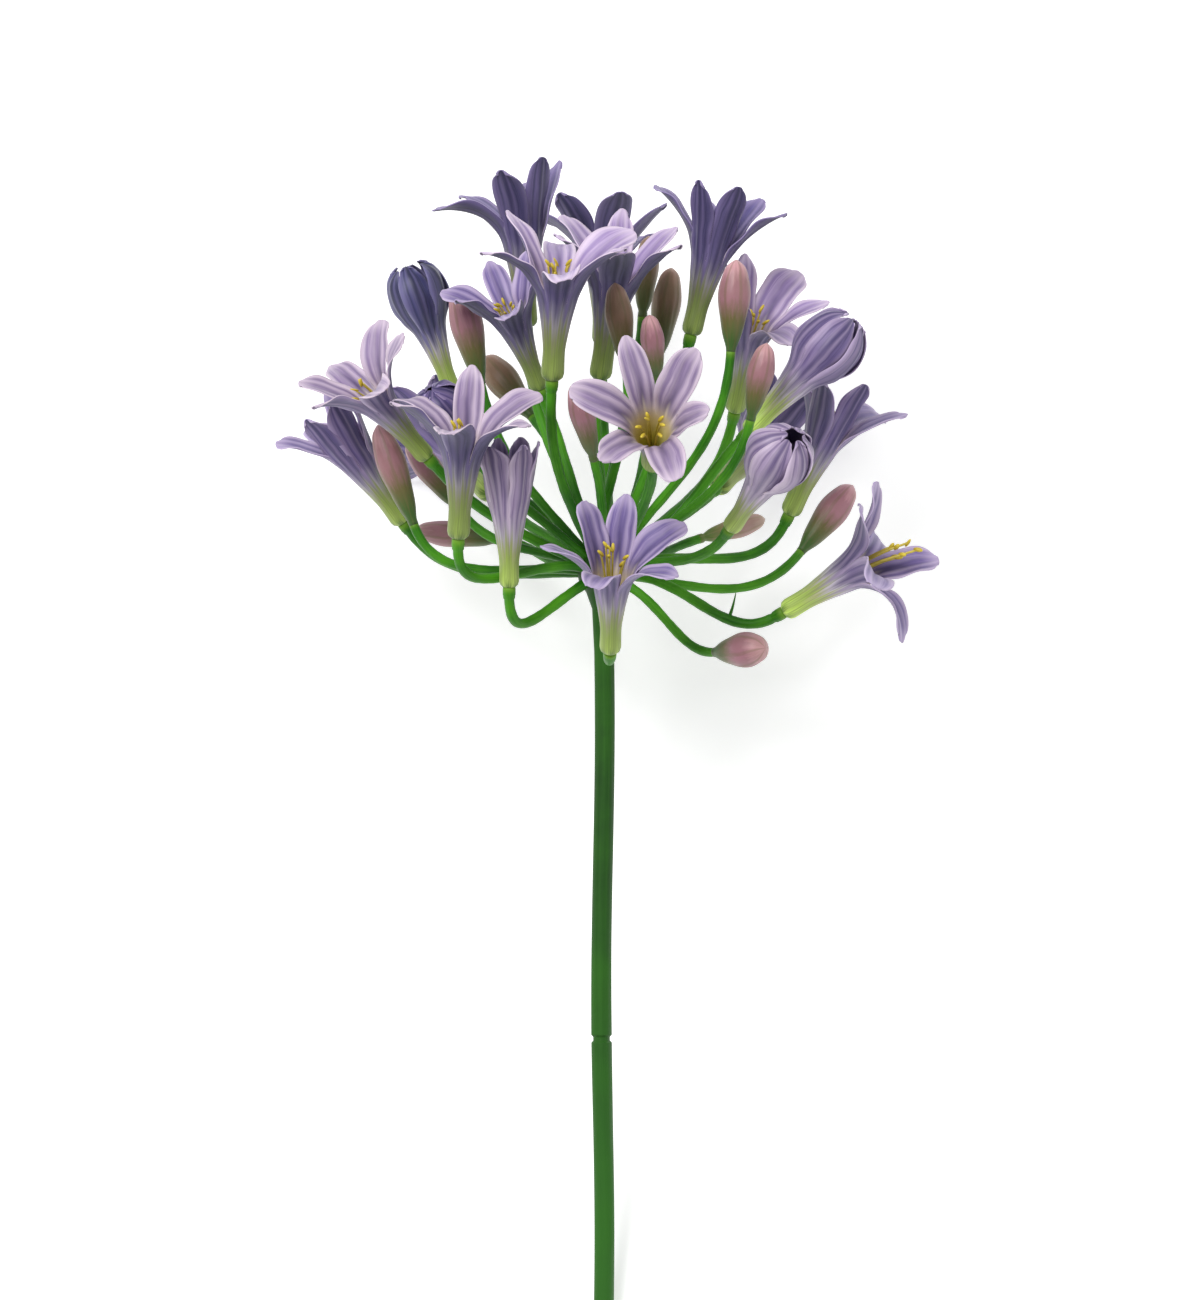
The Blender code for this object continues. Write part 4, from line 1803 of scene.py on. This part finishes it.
@dataclass
class StemSkin:
    """The main stem with its ring joint and the knob that the stalks grow from.

    Attributes:
        solid: The CAD stem.
        sides: Points round the stem.
        knob_rings: Rings of the knob, before those of the stem.
        joint_reach: Half length over which the rings crowd at the joint, in millimetres.
        notch_reach: Half width of the notch in the joint, in millimetres.
        ridge_reach: Distance of the joint's ridges from its middle.
    """

    solid: Solid
    sides: int = 32
    knob_rings: int = 4
    joint_reach: float = 2.4
    notch_reach: float = 0.5
    ridge_reach: float = 1.2 * MM

    def __post_init__(self) -> None:
        """Find the rings from the knob's top down to the cut foot."""
        middle = self.solid.points.mean(axis=0)
        _, _, axes = np.linalg.svd(self.solid.points - middle)
        axis = axes[0] * np.sign(axes[0][1])
        top = int(((self.solid.points - middle) @ axis).argmax())
        self.middles, self.radii = self.solid.rings(top)
        self.hub = self.middles[self.knob_rings]
        self.up = unit(self.hub - self.middles[-1])

    def build(self, green: Material) -> Piece:
        """Make the stem, its radius a little fluted by cosines of five and nine times the angle.

        Args:
            green: Its material.

        Returns:
            The stem.
        """
        draft = Draft()
        spline = Spline(self.middles)
        at, radii = self._profile(spline)
        angle = angles(self.sides)
        flutes = 1.0 + 0.018 * np.cos(5.0 * angle + 0.6) + 0.012 * np.cos(9.0 * angle)
        relief = np.broadcast_to(flutes[None, :], (len(at), self.sides))
        Tube(spline, at, radii, self.sides, relief).lay(draft)
        return dress(draft.finish("stem_skin", [green]), "stem")

    def _profile(self, spline: Spline) -> tuple[Array, Array]:
        """Set the rings: straight between the CAD rings, with a shorter ring joint.

        Args:
            spline: Middle line from the knob down.

        Returns:
            Distances along the stem, and radii.
        """
        first = self.knob_rings
        knots = spline.at.copy()
        low = first + int(self.radii[first:-1].argmin())
        notch = np.nonzero(self.radii[first:-1] < 1.05 * self.radii[low])[0] + first
        middle = float(knots[notch].mean())
        fine = [np.linspace(knots[k], knots[k + 1], 8, endpoint=False) for k in range(len(knots) - 1)]
        joint = middle + np.linspace(-self.joint_reach, self.joint_reach, 25) * MM
        at = np.unique(np.concatenate([*fine, joint, [knots[-1] - 0.3 * MM, knots[-1]]]))
        knots[notch] = middle + np.linspace(-self.notch_reach, self.notch_reach, len(notch)) * MM
        knots[notch[0] - 1] = middle - self.ridge_reach
        knots[notch[-1] + 1] = middle + self.ridge_reach
        radii = np.interp(at, knots, self.radii)
        radii[-1] = radii[-2] * 0.9
        return at, radii


@dataclass
class Spike:
    """The small thorn that stands on one stalk.

    Attributes:
        course: Middle line of the stalk.
        hub: Middle of the knob that the stalks grow from.
        up: Direction of the stem.
        beside: How far to the right of the hub the thorn stands.
        below: How far below the hub.
        height: Height of the thorn.
        lean: How far its tip leans to the right.
        bend: How far its middle bows to the right.
        root: Radius that it loses on the way up, in millimetres.
        point: Radius that it keeps at its tip, in millimetres.
    """

    course: Course
    hub: Array
    up: Array
    beside: float = 38.0 * MM
    below: float = 13.0 * MM
    height: float = 8.0 * MM
    lean: float = 2.2 * MM
    bend: float = 0.2 * MM
    root: float = 0.5
    point: float = 0.12

    def build(self, green: Material) -> Piece:
        """Make the thorn as a curved cone at the stalk's nearest place.

        Args:
            green: Its material.

        Returns:
            The thorn.
        """
        right = right_of(self.up)
        place = self.hub + self.beside * right - self.below * self.up
        spline = Spline(self.course.middles)
        points = spline.points(spline.end * np.linspace(0.0, 1.0, 200))
        gaps = np.linalg.norm(square_to(points - place, np.cross(right, self.up)), axis=1)
        foot = points[int(gaps.argmin())]
        tip = foot + self.up * self.height + right * self.lean
        middle = 0.5 * (foot + tip) + right * self.bend
        line = Spline(np.array([foot, middle, tip]))
        share = np.linspace(0.0, 1.0, 12)
        draft = Draft()
        Tube(line, line.end * share, (self.root * (1.0 - share) ** 0.9 + self.point) * MM, 8).lay(draft)
        return dress(draft.finish("thorn", [green]))


# ---------------------------------------------------------------- studio


@dataclass(frozen=True)
class Lamp:
    """One square soft light.

    Attributes:
        name: Name of the light.
        right: How far to the right of the target it stands.
        up: How far above it.
        view: How far in front of it.
        size: Length of its sides.
        power: Its power in watts.
    """

    name: str
    right: float
    up: float
    view: float
    size: float
    power: float


@dataclass
class Studio:
    """Pale floor, soft light and the camera.

    Attributes:
        hub: Middle of the knob that the stalks grow from.
        up: Direction of the stem, which stands upright in the view.
        distance: Distance of the camera.
        field_height: Height that the camera takes in.
        aside: How far to the left of the hub the camera looks.
        beneath: How far below the hub it looks.
        sensor: Height of the camera's sensor, in millimetres.
        world_light: Strength of the even light.
        floor_reach: Half width of the floor.
        floor_drop: How far the floor lies below the flower.
        floor_glow: Light that the floor gives off itself.
        lamps: The soft lights.
    """

    hub: Array
    up: Array
    distance: float = 3.0
    field_height: float = 0.390
    aside: float = 0.9 * MM
    beneath: float = 23.4 * MM
    sensor: float = 24.0
    world_light: float = 0.40
    floor_reach: float = 4.0
    floor_drop: float = 0.1 * MM
    floor_glow: float = 0.42
    lamps: tuple[Lamp, ...] = (Lamp("key", -0.6, 0.8, 1.3, 0.7, 20.0), Lamp("fill", 1.1, 0.1, 1.0, 1.2, 4.0))

    def build(self) -> None:
        """Add the floor, the lights and the camera."""
        self._floor()
        self._world()
        right = right_of(self.up)
        view = np.cross(right, self.up)
        target = self.hub - self.aside * right - self.beneath * self.up
        self._camera(target, right, view)
        for lamp in self.lamps:
            self._light(lamp, target, right * lamp.right + self.up * lamp.up + view * lamp.view)

    def _camera(self, target: Array, right: Array, view: Array) -> None:
        """Add the camera.

        Args:
            target: Place that it looks at.
            right: Direction to its right.
            view: Direction from the target to it.
        """
        lens = bpy.data.cameras.new("camera")
        lens.sensor_fit = "VERTICAL"
        lens.sensor_height = self.sensor
        lens.lens = self.sensor * self.distance / self.field_height
        lens.clip_end = 20.0
        camera = bpy.data.objects.new("camera", lens)
        turn = Matrix(np.stack([right, self.up, view], axis=1).tolist()).to_4x4()
        camera.matrix_world = Matrix.Translation(Vector(target + view * self.distance)) @ turn
        bpy.context.scene.collection.objects.link(camera)
        bpy.context.scene.camera = camera

    @staticmethod
    def _light(lamp: Lamp, target: Array, offset: Array) -> None:
        """Add one light that faces the target.

        Args:
            lamp: Its name, size and power.
            target: Place that it faces.
            offset: Way from the target to the light.
        """
        source = bpy.data.lights.new(lamp.name, "AREA")
        source.size = lamp.size
        source.energy = lamp.power
        light = bpy.data.objects.new(lamp.name, source)
        light.location = Vector(target + offset)
        light.rotation_euler = Vector(offset).to_track_quat("Z", "Y").to_euler()
        bpy.context.scene.collection.objects.link(light)

    def _world(self) -> None:
        """Light the scene evenly with white."""
        world = bpy.data.worlds.new("soft_white")
        world.use_nodes = True
        back = world.node_tree.nodes["Background"]
        back.inputs["Color"].default_value = (1.0, 1.0, 1.0, 1.0)
        back.inputs["Strength"].default_value = self.world_light
        bpy.context.scene.world = world
        bpy.context.scene.view_settings.view_transform = "Standard"

    def _floor(self) -> None:
        """Add a wide pale floor."""
        draft = Draft()
        ends = np.array([-self.floor_reach, self.floor_reach])
        wide, deep = np.meshgrid(ends, ends)
        index = draft.add(np.stack([wide, deep, np.full((2, 2), -self.floor_drop)], axis=-1))
        draft.grid(index, np.array([0.0, 1.0]), np.array([0.0, 1.0]))
        material, graph, sockets = shader("floor_paper", 0.9)
        patches = GROUPS.use(graph, "mottle", Scale=6.0)["Value"]
        paper = graph.mix(patches, (0.93, 0.93, 0.93, 1.0), (0.95, 0.95, 0.95, 1.0))
        graph.put(sockets["Base Color"], paper)
        sockets["Emission Color"].default_value = (1.0, 1.0, 1.0, 1.0)
        sockets["Emission Strength"].default_value = self.floor_glow
        draft.finish("floor", [material])


# ---------------------------------------------------------------- assembly


class Flower:
    """Builds and dresses the whole flower."""

    def __init__(self) -> None:
        """Make the finishes and read the stem."""
        self.stem = StemSkin(Solid("stem"))
        self.faces = {shade: PetalFinish(shade).face() for shade in Shade}
        self.backs = {shade: PetalFinish(shade).back() for shade in Shade}
        self.buds = {tone: BudFinish(tone).material() for tone in BudTone}
        self.stalk = STALK_GREEN.material()
        self.trunk = STEM_GREEN.material()
        self.threads = THREAD_CREAM.material()
        self.knobs = KNOB_YELLOW.material()

    def pieces(self) -> Iterator[Piece]:
        """Build the stem, the florets and the buds in order.

        Yields:
            Each piece as it is finished.
        """
        yield self.stem.build(self.trunk)
        for number in FLORETS:
            yield from self._floret(number)
        for number in BUDS:
            yield from self._bud(number)

    def _floret(self, number: int) -> Iterator[Piece]:
        """Build one floret with its stalk, and its stamens and thorn where it has them.

        Args:
            number: Number of the floret.

        Yields:
            Each piece as it is finished.
        """
        plan = FloretPlan.read(number)
        shade = FLORET_SHADES.get(number, Shade.MIDDLE)
        back = self.backs[BACK_SHADES.get(number, shade)]
        yield FloretSkin(plan, SHUT_FORMS.get(number, ShutForm())).build(back, self.faces[shade])
        course = self._course(number)
        yield StalkSkin(course, f"pedicel_{number:02d}").build(self.stalk)
        if plan.openness > OPEN_FROM:
            yield Stamens(plan, -self.stem.up, STRETCHED.get(number, 1.0)).build(self.threads, self.knobs)
        if number == THORNED:
            yield Spike(course, self.stem.hub, self.stem.up).build(self.stalk)

    def _course(self, number: int) -> Course:
        """Read a stalk from the hub to its socket.

        Args:
            number: Number of the floret that it holds.

        Returns:
            Its course, rooted in the hub.
        """
        solid = Solid(f"pedicel_{number:02d}")
        _, pole = Solid(f"floret_{number:02d}").facing(solid)
        course = Course.read(solid, pole)
        course.plant(self.stem.hub)
        if number in SAGS:
            course.lift(self.stem.up, SAGS[number])
        return course

    def _bud(self, number: int) -> Iterator[Piece]:
        """Build one bud, or the one that has begun to open.

        Args:
            number: Number of the bud.

        Yields:
            Each piece as it is finished.
        """
        if number == GOBLET:
            goblet = Goblet(number, self.stem.hub)
            yield goblet.stalk(self.stalk)
            yield goblet.petals(self.backs[Shade.MIDDLE], self.faces[Shade.DARK])
        else:
            tone = BUD_TONES.get(number, BudTone.PINK)
            yield BudSkin(number, self.stem.hub).build(self.stalk, self.buds[tone])


def main() -> None:
    """Build the flower and the studio, and report each piece."""
    logging.basicConfig(level=logging.INFO, format="%(message)s")
    flower = Flower()
    for piece in flower.pieces():
        LOG.info("%s: %d faces", piece.name, len(piece.data.polygons))
    Studio(flower.stem.hub, flower.stem.up).build()


if __name__ == "__main__":
    main()
